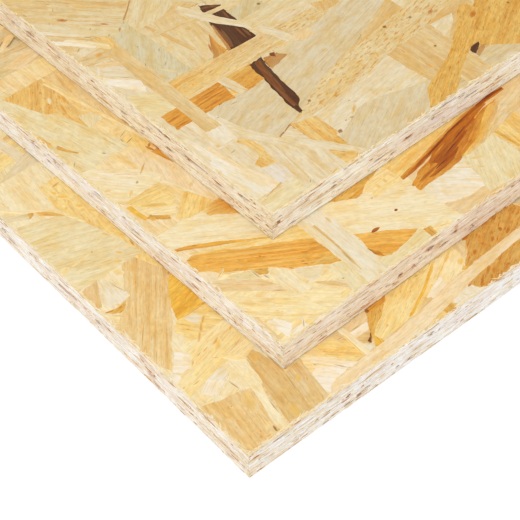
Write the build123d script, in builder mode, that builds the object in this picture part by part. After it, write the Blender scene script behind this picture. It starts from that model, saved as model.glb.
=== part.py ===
from build123d import *
from math import cos, radians, sin
import os

# A stack of three oriented strand board panels lying flat, face to face.
# At the near corner each panel is set back from the one below and turned a little on it.
# X runs along the panels' length, Y across their width and Z upwards.
# The origin is the middle of the bottom panel's underside.

# One panel
panel_length = 1220.0
panel_width = 610.0
panel_thickness = 18.0
arris_break = 0.4  # wear along the sawn corners

# The near corners of the upper panels, measured from the bottom panel's near corner
middle_setback_x = 47.6
middle_setback_y = 29.2
middle_turn = 1.64  # degrees about the near corner
top_setback_x = 90.8
top_setback_y = 87.2
top_turn = 1.53

# Gaps between the strands, open at the sawn sides
void_depth = 7.0  # how far a gap runs in from the side
split_opening = 0.5  # a face strand lifted at the bottom panel's near corner
split_height = 12.6
split_reach_x = 4.0
split_reach_y = 10.0

# Each gap: distance of its middle from the near corner, height as a share of the
# thickness, length, and opening at its middle. A height near 0 is a chipped lower corner.
bottom_short_side_gaps = [
    (15.5, 0.16, 5.0, 1.4),
    (73.5, 0.14, 6.0, 1.6),
    (76.5, 0.50, 6.0, 1.4),
    (80.5, 0.00, 10.0, 4.6),
    (116.0, 0.61, 12.0, 0.8),
    (123.5, 0.45, 4.0, 1.8),
    (143.5, 0.53, 4.5, 1.8),
    (153.5, 0.45, 13.0, 1.2),
    (167.5, 0.68, 7.0, 0.8),
    (178.5, 0.60, 4.0, 1.2),
    (203.0, 0.34, 9.0, 1.2),
    (210.5, 0.54, 4.5, 2.0),
]
bottom_long_side_gaps = [
    (22.0, 0.85, 18.0, 0.6),
    (44.0, 0.44, 2.5, 1.2),
    (50.5, 0.48, 4.5, 1.5),
    (50.0, 0.00, 6.0, 2.4),
    (65.0, 0.54, 4.0, 2.0),
    (66.0, 0.18, 8.0, 1.3),
    (72.5, 0.20, 3.0, 2.2),
    (78.0, 0.29, 5.0, 1.2),
    (99.5, 0.24, 2.5, 1.8),
    (110.0, 0.22, 6.0, 1.8),
    (123.0, 0.68, 5.0, 1.6),
    (157.0, 0.00, 16.0, 3.0),
]
middle_short_side_gaps = [
    (4.0, 0.40, 3.0, 1.6),
    (41.0, 0.49, 4.0, 1.4),
    (66.5, 0.75, 6.5, 1.6),
    (71.5, 0.23, 11.0, 0.9),
    (95.5, 0.54, 4.0, 1.4),
    (116.5, 0.56, 9.0, 1.0),
    (138.5, 0.31, 5.0, 1.6),
    (149.0, 0.83, 7.0, 1.2),
    (188.0, 0.72, 14.0, 1.0),
    (194.5, 0.44, 5.0, 1.2),
    (209.0, 0.64, 10.0, 0.9),
]
middle_long_side_gaps = [
    (11.0, 0.69, 4.5, 0.9),
    (28.0, 0.27, 5.0, 1.0),
    (73.5, 0.36, 3.0, 1.2),
    (83.0, 0.41, 3.5, 1.8),
    (105.5, 0.62, 4.0, 2.2),
    (116.0, 0.39, 8.0, 1.2),
    (123.5, 0.59, 5.0, 1.2),
    (138.0, 0.20, 7.0, 0.8),
]
top_short_side_gaps = [
    (11.5, 0.53, 3.0, 1.0),
    (15.0, 0.15, 4.5, 1.3),
    (23.5, 0.79, 7.0, 2.0),
    (41.0, 0.53, 7.0, 1.2),
    (63.5, 0.62, 27.0, 1.3),
    (84.5, 0.36, 6.0, 1.8),
    (91.0, 0.84, 14.0, 0.8),
    (101.5, 0.56, 5.0, 1.4),
    (109.5, 0.12, 4.0, 1.4),
    (124.5, 0.40, 6.0, 1.3),
    (213.0, 0.66, 10.0, 1.3),
    (226.5, 0.58, 8.0, 0.9),
]
top_long_side_gaps = [
    (4.5, 0.58, 2.5, 1.4),
    (14.0, 0.17, 5.0, 1.2),
    (44.0, 0.53, 3.5, 1.5),
    (78.0, 0.42, 6.5, 1.2),
    (89.5, 0.27, 4.0, 1.0),
    (101.0, 0.53, 5.5, 1.6),
    (120.2, 0.60, 2.5, 1.8),
    (131.0, 0.86, 14.0, 0.6),
    (142.5, 0.79, 6.0, 1.2),
    (150.5, 0.56, 14.0, 1.1),
]

up = Vector(0, 0, 1)


def panel_plane(layer, setback_x, setback_y, turn):
    """The plane of a panel's underside, with its origin at the near corner and X along its length."""
    corner = Vector(
        setback_x - panel_length / 2,
        setback_y - panel_width / 2,
        layer * panel_thickness,
    )
    along = Vector(cos(radians(turn)), sin(radians(turn)), 0)
    return Plane(origin=corner, x_dir=along, z_dir=up)


def make_panel(underside, short_side_gaps, long_side_gaps, corner_is_split=False):
    """One sawn sheet with worn corners and the open gaps of the two sides at its near corner."""
    along = underside.x_dir
    across = underside.y_dir
    short_side = Plane(origin=underside.origin, x_dir=across, z_dir=along)
    long_side = Plane(origin=underside.origin, x_dir=along, z_dir=-across)

    with BuildPart() as panel:
        with BuildSketch(underside):
            Rectangle(panel_length, panel_width, align=(Align.MIN, Align.MIN))
        extrude(amount=panel_thickness)
        chamfer(panel.edges(), arris_break)

        # A gap is a lens on the side, pointed at both ends, and runs straight in.
        for side, inward, gaps in (
            (short_side, along, short_side_gaps),
            (long_side, across, long_side_gaps),
        ):
            for distance, height_share, length, opening in gaps:
                height = height_share * panel_thickness
                with BuildSketch(side):
                    with BuildLine():
                        left = (distance - length / 2, height)
                        right = (distance + length / 2, height)
                        ThreePointArc(left, (distance, height + opening / 2), right)
                        ThreePointArc(right, (distance, height - opening / 2), left)
                    make_face()
                extrude(amount=void_depth, dir=inward, mode=Mode.SUBTRACT)

        # A face strand that has lifted leaves a thin three-cornered split.
        if corner_is_split:
            with BuildSketch(underside.offset(split_height)):
                with BuildLine():
                    Polyline((0, 0), (split_reach_x, 0), (0, split_reach_y), close=True)
                make_face()
            extrude(amount=split_opening, mode=Mode.SUBTRACT)
    return panel


bottom_underside = panel_plane(0, 0, 0, 0)
middle_underside = panel_plane(1, middle_setback_x, middle_setback_y, middle_turn)
top_underside = panel_plane(2, top_setback_x, top_setback_y, top_turn)

bottom_panel = make_panel(
    bottom_underside, bottom_short_side_gaps, bottom_long_side_gaps, corner_is_split=True
)
middle_panel = make_panel(middle_underside, middle_short_side_gaps, middle_long_side_gaps)
top_panel = make_panel(top_underside, top_short_side_gaps, top_long_side_gaps)

bottom_panel.part.label = "bottom_panel"
middle_panel.part.label = "middle_panel"
top_panel.part.label = "top_panel"

os.makedirs("parts", exist_ok=True)
export_step(bottom_panel.part, "parts/bottom_panel.step")
export_step(middle_panel.part, "parts/middle_panel.step")
export_step(top_panel.part, "parts/top_panel.step")
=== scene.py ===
import bpy
import math
import numpy as np
from mathutils import Matrix, Vector


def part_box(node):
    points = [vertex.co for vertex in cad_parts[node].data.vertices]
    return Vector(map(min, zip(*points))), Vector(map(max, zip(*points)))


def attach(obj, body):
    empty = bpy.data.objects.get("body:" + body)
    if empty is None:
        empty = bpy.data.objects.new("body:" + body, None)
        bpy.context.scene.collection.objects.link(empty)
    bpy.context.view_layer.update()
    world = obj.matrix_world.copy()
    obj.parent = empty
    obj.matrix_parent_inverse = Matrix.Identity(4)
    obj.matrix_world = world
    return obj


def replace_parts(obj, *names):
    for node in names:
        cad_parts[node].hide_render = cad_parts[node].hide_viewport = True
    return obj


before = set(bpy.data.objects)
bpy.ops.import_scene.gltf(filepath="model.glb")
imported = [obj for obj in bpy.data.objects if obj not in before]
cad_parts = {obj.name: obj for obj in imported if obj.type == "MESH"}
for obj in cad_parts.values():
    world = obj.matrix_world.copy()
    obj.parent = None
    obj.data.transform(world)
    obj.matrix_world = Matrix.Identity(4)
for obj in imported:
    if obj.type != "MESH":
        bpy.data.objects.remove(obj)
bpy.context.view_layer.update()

# A stack of three oriented strand boards, seen from above its near corner. A place on a board is
# given in millimetres from its near corner: along its length, then across.
mm = 0.001
board = {
    "length": 1220.0,
    "width": 610.0,
    "thickness": 18.0,
    "arris": 0.45,  # worn corner between a face and a sawn side
    "skinDepth": 2.0,  # how far below a face its lowest strands lie
}


# Small helpers

def linear(hexColour):
    # an sRGB hex colour as linear red, green, blue and alpha
    parts = np.array([int(hexColour[i:i + 2], 16) for i in (1, 3, 5)]) / 255
    low, high = parts / 12.92, ((parts + 0.055) / 1.055) ** 2.4
    return (*np.where(parts <= 0.04045, low, high), 1.0)


def addNode(tree, kind, settings=None, links=None):
    # one node with its settings, and its inputs as values or as the sockets that feed them
    node = tree.nodes.new(kind)
    for name, value in (settings or {}).items():
        setattr(node, name, value)
    for name, value in (links or {}).items():
        if isinstance(value, bpy.types.NodeSocket):
            tree.links.new(value, node.inputs[name])
        else:
            node.inputs[name].default_value = value
    return node


def newMaterial(name):
    material = bpy.data.materials.new(name)
    material.use_nodes = True
    material.node_tree.nodes.clear()
    return material


def boardFrame(node):
    # The turned box of a board is length*cos + width*sin long and length*sin + width*cos wide,
    # which gives its turn and then the place of its near corner.
    low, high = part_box(node)
    length, width = board["length"] * mm, board["width"] * mm
    spanX, spanY = high.x - low.x, high.y - low.y
    turn = math.atan2(length * spanY - width * spanX, length * spanX - width * spanY)
    return {"x": low.x + width * math.sin(turn), "y": low.y, "low": low.z, "turn": turn}


def toWorld(place, x, y, z):
    # board millimetres, any array shape, to metres in the row frame
    cosTurn, sinTurn = math.cos(place["turn"]), math.sin(place["turn"])
    return np.stack([
        place["x"] + (x * cosTurn - y * sinTurn) * mm,
        place["y"] + (x * sinTurn + y * cosTurn) * mm,
        place["low"] + z * mm,
    ], axis=-1)


def toBoard(place, world):
    # metres in the row frame back to board millimetres
    cosTurn, sinTurn = math.cos(place["turn"]), math.sin(place["turn"])
    x = (world[..., 0] - place["x"]) / mm
    y = (world[..., 1] - place["y"]) / mm
    return x * cosTurn + y * sinTurn, y * cosTurn - x * sinTurn


def gridQuads(i, j, nextI, high):
    # the quads of a grid of points that is high points wide, with columns i and nextI, rows j
    return np.stack([i * high + j, nextI * high + j, nextI * high + j + 1, i * high + j + 1], -1)


def makePiece(name, points, quads, maps, attributes, material, caps=()):
    # A mesh from arrays: points (n, 3), quads (m, 4) and caps, each a whole outline, with UV maps
    # and attributes given per point. An attribute with columns is a colour.
    loops = np.concatenate([quads.ravel(), *caps]).astype(np.int32)
    sizes = np.array([4] * len(quads) + [len(cap) for cap in caps], np.int32)
    mesh = bpy.data.meshes.new(name)
    mesh.vertices.add(len(points))
    mesh.vertices.foreach_set("co", points.astype(np.float32).ravel())
    mesh.loops.add(len(loops))
    mesh.loops.foreach_set("vertex_index", loops)
    mesh.polygons.add(len(sizes))
    mesh.polygons.foreach_set("loop_start", (np.cumsum(sizes) - sizes).astype(np.int32))
    mesh.polygons.foreach_set("loop_total", sizes)
    for mapName, uv in maps.items():
        layer = mesh.uv_layers.new(name=mapName, do_init=False)
        layer.uv.foreach_set("vector", uv[loops].astype(np.float32).ravel())
    for key, values in attributes.items():
        kind, field = ("FLOAT_COLOR", "color") if values.ndim > 1 else ("FLOAT", "value")
        attribute = mesh.attributes.new(key, kind, "POINT")
        attribute.data.foreach_set(field, values.astype(np.float32).ravel())
    mesh.materials.append(material)
    mesh.update(calc_edges=True)
    mesh.validate()
    mesh.shade_flat()
    piece = bpy.data.objects.new(name, mesh)
    bpy.context.scene.collection.objects.link(piece)
    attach(piece, "root")
    return piece


# Wood tones of the strands, named for their look: the colour, how strong the growth rings show,
# how many resin dashes, and how common the tone is among the strands that aren't listed one by one
woodTones = {
    "white": ("#F3E8D3", 0.1, 0.0, 0.02),
    "frost": ("#EEE6D2", 0.1, 0.0, 0.01),
    "chalk": ("#ECE1C8", 0.15, 0.0, 0.05),
    "ivory": ("#F1E2BB", 0.2, 0.05, 0.09),
    "cream": ("#E7D8B6", 0.25, 0.1, 0.12),
    "butter": ("#F5E2B0", 0.3, 0.1, 0.08),
    "mist": ("#EADFC4", 0.15, 0.0, 0.03),
    "ash": ("#E7DCCA", 0.2, 0.0, 0.02),
    "linen": ("#EADBB0", 0.25, 0.1, 0.1),
    "straw": ("#E4D2A6", 0.3, 0.1, 0.12),
    "reed": ("#DDCDA9", 0.25, 0.05, 0.07),
    "sage": ("#D8CBA5", 0.2, 0.05, 0.03),
    "blush": ("#F1DCB4", 0.25, 0.1, 0.07),
    "peach": ("#EBD0A0", 0.3, 0.15, 0.08),
    "hay": ("#EACE97", 0.45, 0.15, 0.03),
    "wheat": ("#E9D1A1", 0.45, 0.15, 0.07),
    "sand": ("#E4CB98", 0.45, 0.15, 0.07),
    "tan": ("#E0C084", 0.35, 0.15, 0.05),
    "speckled": ("#E4CF9E", 0.3, 0.95, 0.04),
    "maize": ("#F3DA98", 0.4, 0.4, 0.04),
    "corn": ("#F3D58C", 0.5, 0.4, 0.03),
    "honey": ("#EBC880", 0.55, 0.6, 0.04),
    "saffron": ("#F1C456", 0.6, 0.4, 0.0),
    "gold": ("#E4BB66", 0.7, 0.7, 0.025),
    "apricot": ("#EEB95A", 0.8, 0.3, 0.0),
    "amber": ("#E0A344", 0.8, 0.3, 0.012),
    "toast": ("#C4955A", 0.6, 0.2, 0.006),
    "caramel": ("#DBAC5B", 0.7, 0.9, 0.004),
    "copper": ("#C17219", 0.9, 0.2, 0.004),
    "russet": ("#A85F1A", 1.0, 0.2, 0.0),
    "mahogany": ("#A2510F", 1.0, 0.1, 0.0),
    "rust": ("#855429", 1.0, 0.1, 0.004),
    "bark": ("#593718", 1.0, 0.0, 0.006),
    "walnut": ("#83582F", 1.0, 0.0, 0.0),
    "sepia": ("#A98A5A", 0.3, 0.0, 0.0),
    "umber": ("#6A2A10", 1.0, 0.0, 0.0),
}
toneIndex = {name: k for k, name in enumerate(woodTones)}
toneColour = np.array([linear(row[0])[:3] for row in woodTones.values()])
toneStreak, toneFleck, toneShare = [
    np.array([row[k] for row in woodTones.values()]) for k in (1, 2, 3)]


# Materials

def grainPatterns(tree, patterns, roughness):
    # Noise on the grain map, whose unit is a millimetre: x along the fibres and y across them.
    # Each pattern has its size both ways, its detail and its distortion.
    grain = addNode(tree, "ShaderNodeUVMap", {"uv_map": "grain"}).outputs["UV"]
    noises = {}
    for name, (along, across, detail, distortion) in patterns.items():
        spot = addNode(tree, "ShaderNodeMapping", links={
            "Vector": grain, "Scale": (1 / along, 1 / across, 1)})
        noises[name] = addNode(tree, "ShaderNodeTexNoise", {"noise_dimensions": "2D"}, {
            "Vector": spot.outputs["Vector"], "Scale": 1.0, "Detail": detail,
            "Roughness": roughness, "Distortion": distortion}).outputs["Fac"]
    return noises


def stained(tree, colour, stains, values):
    # Multiplies one stain after another into the colour. A stain sets in where its value passes
    # from low to high, by up to most times its share.
    for name, low, high, most, share, stain in stains:
        amount = addNode(tree, "ShaderNodeMapRange", links={
            "Value": values[name], "From Min": low, "From Max": high, "To Min": 0.0, "To Max": most})
        shared = addNode(tree, "ShaderNodeMath", {"operation": "MULTIPLY"}, {
            0: amount.outputs["Result"], 1: values[share]})
        colour = addNode(tree, "ShaderNodeMix", {"data_type": "RGBA", "blend_type": "MULTIPLY"}, {
            "Factor": shared.outputs["Value"], 6: colour, 7: linear(stain)}).outputs[2]
    return colour


def dryWood(tree, colour, light, relief, look):
    # a dull shader of the colour times the light, with the relief as a low bump
    lit = addNode(tree, "ShaderNodeVectorMath", {"operation": "SCALE"}, {0: colour, "Scale": light})
    bump = addNode(tree, "ShaderNodeBump", links={
        "Height": relief, "Strength": look["bump"], "Distance": look["bumpHeight"]})
    shader = addNode(tree, "ShaderNodeBsdfPrincipled", links={
        "Base Color": lit.outputs["Vector"], "Roughness": look["roughness"],
        "Normal": bump.outputs["Normal"], "Specular IOR Level": look["specular"]})
    addNode(tree, "ShaderNodeOutputMaterial", links={"Surface": shader.outputs["BSDF"]})


strandLook = {
    "patterns": {  # size along and across the grain, detail and distortion
        "fibre": (20.0, 0.8, 3.0, 0.0),  # real fibres are too fine to show, these are bundles
        "sapLines": (17.0, 1.5, 3.0, 0.0),
        "rings": (110.0, 4.5, 2.0, 0.4),
        "cloud": (20.0, 9.0, 3.0, 0.5),
        "mottle": (4.5, 2.4, 3.0, 0.5),
        "dash": (5.0, 1.5, 2.0, 0.0),
        "checks": (16.0, 0.8, 1.0, 0.0),
        "hairs": (5.5, 0.5, 1.0, 0.0),
        "nicks": (5.0, 2.5, 2.0, 0.0),
    },
    "patternRoughness": 0.6,
    "stains": [  # where each sets in and is full, how strong at most, its share and its colour
        ("cloud", 0.42, 0.68, 0.9, "all", "#FCEFCF"),
        ("sapLines", 0.5, 0.68, 1.0, "strength", "#F6E2B8"),
        ("rings", 0.44, 0.64, 1.0, "streak", "#F1D9B2"),
        ("resin", 0.0, 0.09, 0.85, "all", "#F0C478"),
        ("checks", 0.67, 0.77, 0.8, "strength", "#D8BC92"),
        ("hairs", 0.66, 0.76, 0.9, "strength", "#D6B587"),
    ],
    "ranges": {  # of the value that each is read from, and of what it becomes
        "strength": ("streak", 0.0, 1.0, 0.25, 0.9),  # of the lines
        "dashLimit": ("fleck", 0.0, 1.0, 0.78, 0.55),  # a dash shows where its noise is above
        "edgeShown": ("nicks", 0.35, 0.62, 1.0, 0.1),  # more in some places than in others
        "satin": ("rings", 0.3, 0.7, 0.6, 0.75),
        "fibreLift": ("fibre", 0.3, 0.7, -0.09, 0.07),
        "mottleLift": ("mottle", 0.3, 0.7, -0.18, 0.09),
    },
    # painted highlight of the lightest edge and painted shade of the darkest
    "paintedEdgeLight": (1.09, 0.87),  # of the lightest and of the darkest edge
    "bump": 0.5,
    "bumpHeight": 0.00012,
    "specular": 0.3,
}


def strandWood(look):
    # Pine and aspen strands, knife-cut and hot-pressed with resin. The eye sees a satin face with
    # fine fibre lines, soft growth rings, orange resin dashes, and edges that come and go: a painted
    # highlight along the edges of some strands and a painted shade along those of others.
    material = newMaterial("pressed pine strand")
    tree = material.node_tree
    values = {"all": 1.0, **grainPatterns(tree, look["patterns"], look["patternRoughness"])}
    tone = addNode(tree, "ShaderNodeAttribute", {"attribute_name": "tone"}).outputs["Color"]
    for name in ("streak", "fleck", "rim"):
        values[name] = addNode(tree, "ShaderNodeAttribute", {"attribute_name": name}).outputs["Fac"]
    for name, (source, lowIn, highIn, lowOut, highOut) in look["ranges"].items():
        values[name] = addNode(tree, "ShaderNodeMapRange", links={
            "Value": values[source], "From Min": lowIn, "From Max": highIn,
            "To Min": lowOut, "To Max": highOut}).outputs["Result"]
    values["resin"] = addNode(tree, "ShaderNodeMath", {"operation": "SUBTRACT"}, {
        0: values["dash"], 1: values["dashLimit"]}).outputs["Value"]
    colour = stained(tree, tone, look["stains"], values)

    # the light is the edge's painted highlight and shade, times 1 + strength * lift for the fibres and for
    # the mottle
    edge = addNode(tree, "ShaderNodeMath", {"operation": "MULTIPLY"}, {
        0: values["rim"], 1: values["edgeShown"]})
    lightest, darkest = look["paintedEdgeLight"]
    light = addNode(tree, "ShaderNodeMapRange", links={
        "Value": edge.outputs["Value"], "From Min": -1.0, "From Max": 1.0,
        "To Min": lightest, "To Max": darkest}).outputs["Result"]
    for name in ("fibreLift", "mottleLift"):
        factor = addNode(tree, "ShaderNodeMath", {"operation": "MULTIPLY_ADD"}, {
            0: values[name], 1: values["strength"], 2: 1.0})
        light = addNode(tree, "ShaderNodeMath", {"operation": "MULTIPLY"}, {
            0: light, 1: factor.outputs["Value"]}).outputs["Value"]
    dryWood(tree, colour, light, values["fibre"], {**look, "roughness": values["satin"]})
    return material


sideLook = {
    "patterns": {
        "layers": (9.0, 0.7, 4.0, 0.3),
        "lateWood": (11.0, 0.6, 2.0, 0.3),
        "pitShade": (7.0, 0.7, 1.0, 0.3),
        "blotch": (14.0, 5.0, 2.0, 0.3),
    },
    "patternRoughness": 0.65,
    "stains": [
        ("blotch", 0.45, 0.7, 0.4, "all", "#F6E6CB"),
        ("lateWood", 0.62, 0.72, 0.62, "all", "#DDBB92"),
        # small dark pits: painted shade of tiny holes
        ("pitShade", 0.735, 0.79, 0.9, "all", "#A0805E"),
    ],
    "layersSeen": (0.3, 0.68),  # a layer is darkest at the first value of its noise
    "layersLight": (0.92, 1.08),
    "bump": 0.5,
    "bumpHeight": 0.0002,
    "roughness": 0.88,
    "specular": 0.2,
}


def sawnSide(look):
    # The sawn side of a board: strands cut across show as thin pale layers with brown lines of
    # late wood and small dark pits painted as shade, dry and furry from the saw, so nearly without gloss.
    material = newMaterial("sawn strand board side")
    tree = material.node_tree
    values = {"all": 1.0, **grainPatterns(tree, look["patterns"], look["patternRoughness"])}
    tone = addNode(tree, "ShaderNodeAttribute", {"attribute_name": "tone"}).outputs["Color"]
    colour = stained(tree, tone, look["stains"], values)
    (dark, pale), (least, most) = look["layersSeen"], look["layersLight"]
    light = addNode(tree, "ShaderNodeMapRange", links={
        "Value": values["layers"], "From Min": dark, "From Max": pale, "To Min": least, "To Max": most})
    dryWood(tree, colour, light.outputs["Result"], values["layers"], look)
    return material


strandMaterial = strandWood(strandLook)
sideMaterial = sawnSide(sideLook)
print("materials made")


# Strands

def ripple(x, y):
    # a pressed face is never quite flat: two slow waves that bend each other, in millimetres
    return 0.04 * (np.sin(x / 9 + 1.3 * np.sin(y / 23)) + np.sin(y / 7 + 1.7 * np.sin(x / 19)) - 2)


def evenSteps(points, count):
    # a line through the points, taken at even steps along it
    points = np.reshape(points, (-1, 2)).astype(float)
    reach = np.concatenate([[0], np.cumsum(np.linalg.norm(np.diff(points, axis=0), axis=1))])
    at = np.linspace(0, max(reach[-1], 1e-6), count)
    return np.stack([np.interp(at, reach, points[:, 0]), np.interp(at, reach, points[:, 1])], -1)


def runOf(left, right):
    # from the middle of each strand's start to the middle of its end
    return (left[:, -1] + right[:, -1] - left[:, 0] - right[:, 0]) / 2


def gather(left, right, levels, angles, colours, streak, fleck, soft):
    # one set of strands; each turns the same way round, so that its face looks up
    run, span = runOf(left, right), (right - left).mean(1)
    flip = run[:, 0] * span[:, 1] - run[:, 1] * span[:, 0] < 0
    left, right = (np.where(flip[:, None, None], right, left),
                   np.where(flip[:, None, None], left, right))
    colours = np.where(flip[:, None, None, None], colours[:, :, ::-1], colours)
    return {"left": left, "right": right, "levels": levels, "angles": angles,
            "colours": colours, "streak": streak, "fleck": fleck, "soft": soft}


def laidStrands(rows, lowest, highest, knots=25):
    # Strands laid by hand, the lowest first: the tone, the two long edges as x, y, x, y, and the
    # way of the grain in degrees where it isn't along them. "one>two" is a tone that changes
    # along the strand, and "one/two" is one that changes across it.
    left, right = [np.stack([evenSteps(row[k], knots) for row in rows]) for k in (1, 2)]
    run = runOf(left, right)
    angles = np.arctan2(run[:, 1], run[:, 0])
    colours, first = np.zeros((len(rows), 2, 2, 3)), np.zeros(len(rows), int)
    for k, row in enumerate(rows):
        if len(row) > 3:
            angles[k] = math.radians(row[3])
        names = row[0].replace(">", "/").split("/")
        one, two = [toneColour[toneIndex[name]] for name in (names[0], names[-1])]
        colours[k] = [[one, two], [one, two]] if "/" in row[0] else [[one, one], [two, two]]
        first[k] = toneIndex[names[0]]
    levels = np.linspace(lowest, highest, len(rows))
    return gather(left, right, levels, angles, colours, toneStreak[first], toneFleck[first],
                  np.zeros(len(rows)))


def insideStrand(left, right, x, y):
    # even-odd test of each point (x, y) against the outline made of the two long edges
    outline = np.concatenate([left, right[::-1]])
    ax, ay = outline.T[:, :, None]
    bx, by = np.roll(outline, -1, 0).T[:, :, None]
    rise = np.where(by == ay, 1e-9, by - ay)
    crossed = ((ay > y) != (by > y)) & (x < (bx - ax) * (y - ay) / rise + ax)
    return crossed.sum(0) % 2 == 1


markForm = {
    "power": 0.6,  # the higher, the more pointed
    "levels": 0.01,  # from the first mark up to the last
    "streak": 0.4,
    "dark": 0.25,  # a mark darker than this fades less
    "crisp": 0.65,
}


def laidMarks(rows, level, under=None, knots=9):
    # Flecks, knots and slivers, pointed at both ends: a tone, and then x, y, length, width and
    # degrees of each one. Half the width at t, from 0 to 1 along it, is width / 2 times the sine
    # of pi t to a power. On a strand, a mark fades at its edge into the strand's tone.
    spots = [(toneIndex[tone], *spot) for tone, *group in rows for spot in group]
    numbers = np.array(spots, float)
    tones = numbers[:, 0].astype(int)
    x, y, length, width, turn = numbers[:, 1:].T[:, :, None]
    turn = np.radians(turn)
    t = np.linspace(0, 1, knots)[None]
    half = width / 2 * np.sin(np.pi * t).clip(0) ** markForm["power"]
    reach = (t - 0.5) * length
    middle = np.stack([x + reach * np.cos(turn), y + reach * np.sin(turn)], -1)
    aside = np.stack([half * np.sin(turn), -half * np.cos(turn)], -1)
    colours = toneColour[tones][:, None, None] + np.zeros((1, 2, 2, 1))
    levels = level + np.linspace(0, markForm["levels"], len(tones))
    none = np.zeros(len(tones))
    marks = gather(middle + aside, middle - aside, levels, turn[:, 0], colours,
                   markForm["streak"] * toneStreak[tones], none, none + 1)
    if under is not None:
        marks["ground"] = toneColour[tones]
        marks["crisp"] = np.where(marks["ground"].mean(-1) < markForm["dark"], markForm["crisp"], 0.0)
        for left, right, colour in zip(under["left"], under["right"], under["colours"]):
            marks["ground"][insideStrand(left, right, x[:, 0], y[:, 0])] = colour.mean((0, 1))
    return marks


scatterShape = {
    "length": (75.0, 125.0),
    "width": (6.0, 38.0),
    "widthLog": (2.8, 0.5),  # middle and spread of the width's logarithm
    "layers": 4,
    "spacing": 40.0,  # one strand of each layer for every square of this size
    "layerDrop": 0.1,  # from one layer's level to the next
    "top": -0.1,  # level of the highest strand
    "lined": 0.5,  # share of the strands that lie roughly along the board
    "linedSpread": 0.45,
    "taper": (0.45, 1.0),  # width of the narrow end as a share of the other
    "pointed": 0.2,  # share of the strands that end in a point
    "pointedTaper": 0.08,
    "slant": 0.5,
    "bow": 1.2,
    "drift": 0.6,  # how far the far end may go towards the second tone
    "uneven": 0.025,  # spread of how light or dark a strand is
    "fleck": (0.3, 1.2),  # how many of its tone's resin dashes a strand has
}


def scatterStrands(rng, shape):
    # Strands on a jittered lattice, layer by layer. A strand is a four-cornered blade about its
    # middle: long edges along its grain, narrower at one end, with ends cut aslant.
    spacing, rows = shape["spacing"], []
    acrossCount = int(board["width"] / spacing) + 2
    alongCount = int(board["length"] / spacing) + 2
    for layer in range(shape["layers"]):
        i, j = np.meshgrid(np.arange(alongCount), np.arange(acrossCount), indexing="ij")
        count = i.size
        shift = rng.random(2) - 0.75
        x = (i.ravel() + shift[0] + rng.uniform(-0.5, 0.5, count)) * spacing
        y = (j.ravel() + shift[1] + rng.uniform(-0.5, 0.5, count)) * spacing
        length = rng.uniform(*shape["length"], count)
        width = np.clip(rng.lognormal(*shape["widthLog"], count), *shape["width"])
        lined = rng.random(count) < shape["lined"]
        angle = np.where(lined, rng.normal(0, shape["linedSpread"], count),
                         rng.uniform(-1.57, 1.57, count))
        taper = rng.uniform(*shape["taper"], count)
        taper = np.where(rng.random(count) < shape["pointed"], shape["pointedTaper"], taper)
        startCut, endCut = rng.normal(0, shape["slant"], (2, count))
        narrowStart = rng.random(count) < 0.5
        startHalf = width / 2 * np.where(narrowStart, taper, 1)
        endHalf = width / 2 * np.where(narrowStart, 1, taper)
        along = np.stack([np.cos(angle), np.sin(angle)], -1)
        across = np.stack([-along[:, 1], along[:, 0]], -1)
        middle = np.stack([x, y], -1)
        corners = np.stack([
            middle + along * (end * length / 2 + half * cut)[:, None] + across * half[:, None]
            for end, half, cut in ((-1, -startHalf, startCut), (1, -endHalf, endCut),
                                   (1, endHalf, endCut), (-1, startHalf, startCut))], axis=1)
        place = (layer + rng.permutation(count) / count) - shape["layers"]
        rows.append((corners, place * shape["layerDrop"] + shape["top"], angle))
    corners, levels, angles = [np.concatenate(column) for column in zip(*rows)]
    order = np.argsort(levels)
    return {"corners": corners[order], "levels": levels[order], "angles": angles[order]}


def inQuads(corners, x, y):
    # whether each point (x, y) lies inside the four-cornered blade
    inside = np.ones(x.shape, bool)
    for (ax, ay), (bx, by) in zip(corners, np.roll(corners, -1, 0)):
        inside &= (bx - ax) * (y - ay) - (by - ay) * (x - ax) >= 0
    return inside


def keepShown(strands, covered, cell=3.0):
    # Paints the strands from the lowest up on a coarse grid and keeps those that still show.
    gridX, gridY = np.meshgrid(np.arange(cell / 2, board["length"], cell),
                               np.arange(cell / 2, board["width"], cell), indexing="ij")
    owner = np.full(gridX.shape, -1)
    for k, corners in enumerate(strands["corners"]):
        low = np.maximum(np.floor(corners.min(0) / cell).astype(int), 0)
        high = np.maximum(np.ceil(corners.max(0) / cell).astype(int), 0)
        window = (slice(low[0], high[0] + 1), slice(low[1], high[1] + 1))
        owner[window][inQuads(corners, gridX[window], gridY[window])] = k
    for test in covered:
        owner[test(gridX, gridY)] = -1
    shown = np.isin(np.arange(len(strands["levels"])), owner)
    return {key: values[shown] for key, values in strands.items()}


def scattered(strands, rng, knots=9):
    # Corners made into two long edges, bowed sideways by up to a few millimetres, and a tone for
    # each strand by its share, drifting towards a second tone at its far end.
    corners, count = strands["corners"], len(strands["levels"])
    t = np.linspace(0, 1, knots)[None, :, None]
    bow = rng.normal(0, scatterShape["bow"], (count, 1, 1)) * 4 * t * (1 - t)
    across = np.stack([-np.sin(strands["angles"]), np.cos(strands["angles"])], -1)[:, None]
    left, right = [corners[:, None, start] * (1 - t) + corners[:, None, end] * t + across * bow
                   for start, end in ((0, 1), (3, 2))]
    pick, other = rng.choice(len(toneShare), (2, count), p=toneShare / toneShare.sum())
    drift = rng.random((count, 1)) ** 2 * scatterShape["drift"]
    far = toneColour[pick] * (1 - drift) + toneColour[other] * drift
    colours = np.stack([toneColour[pick], far], 1)[:, :, None] + np.zeros((1, 1, 2, 1))
    colours = colours * rng.normal(1, scatterShape["uneven"], (count, 1, 1, 1))
    return gather(left, right, strands["levels"], strands["angles"], colours, toneStreak[pick],
                  toneFleck[pick] * rng.uniform(*scatterShape["fleck"], count), np.zeros(count))


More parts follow.
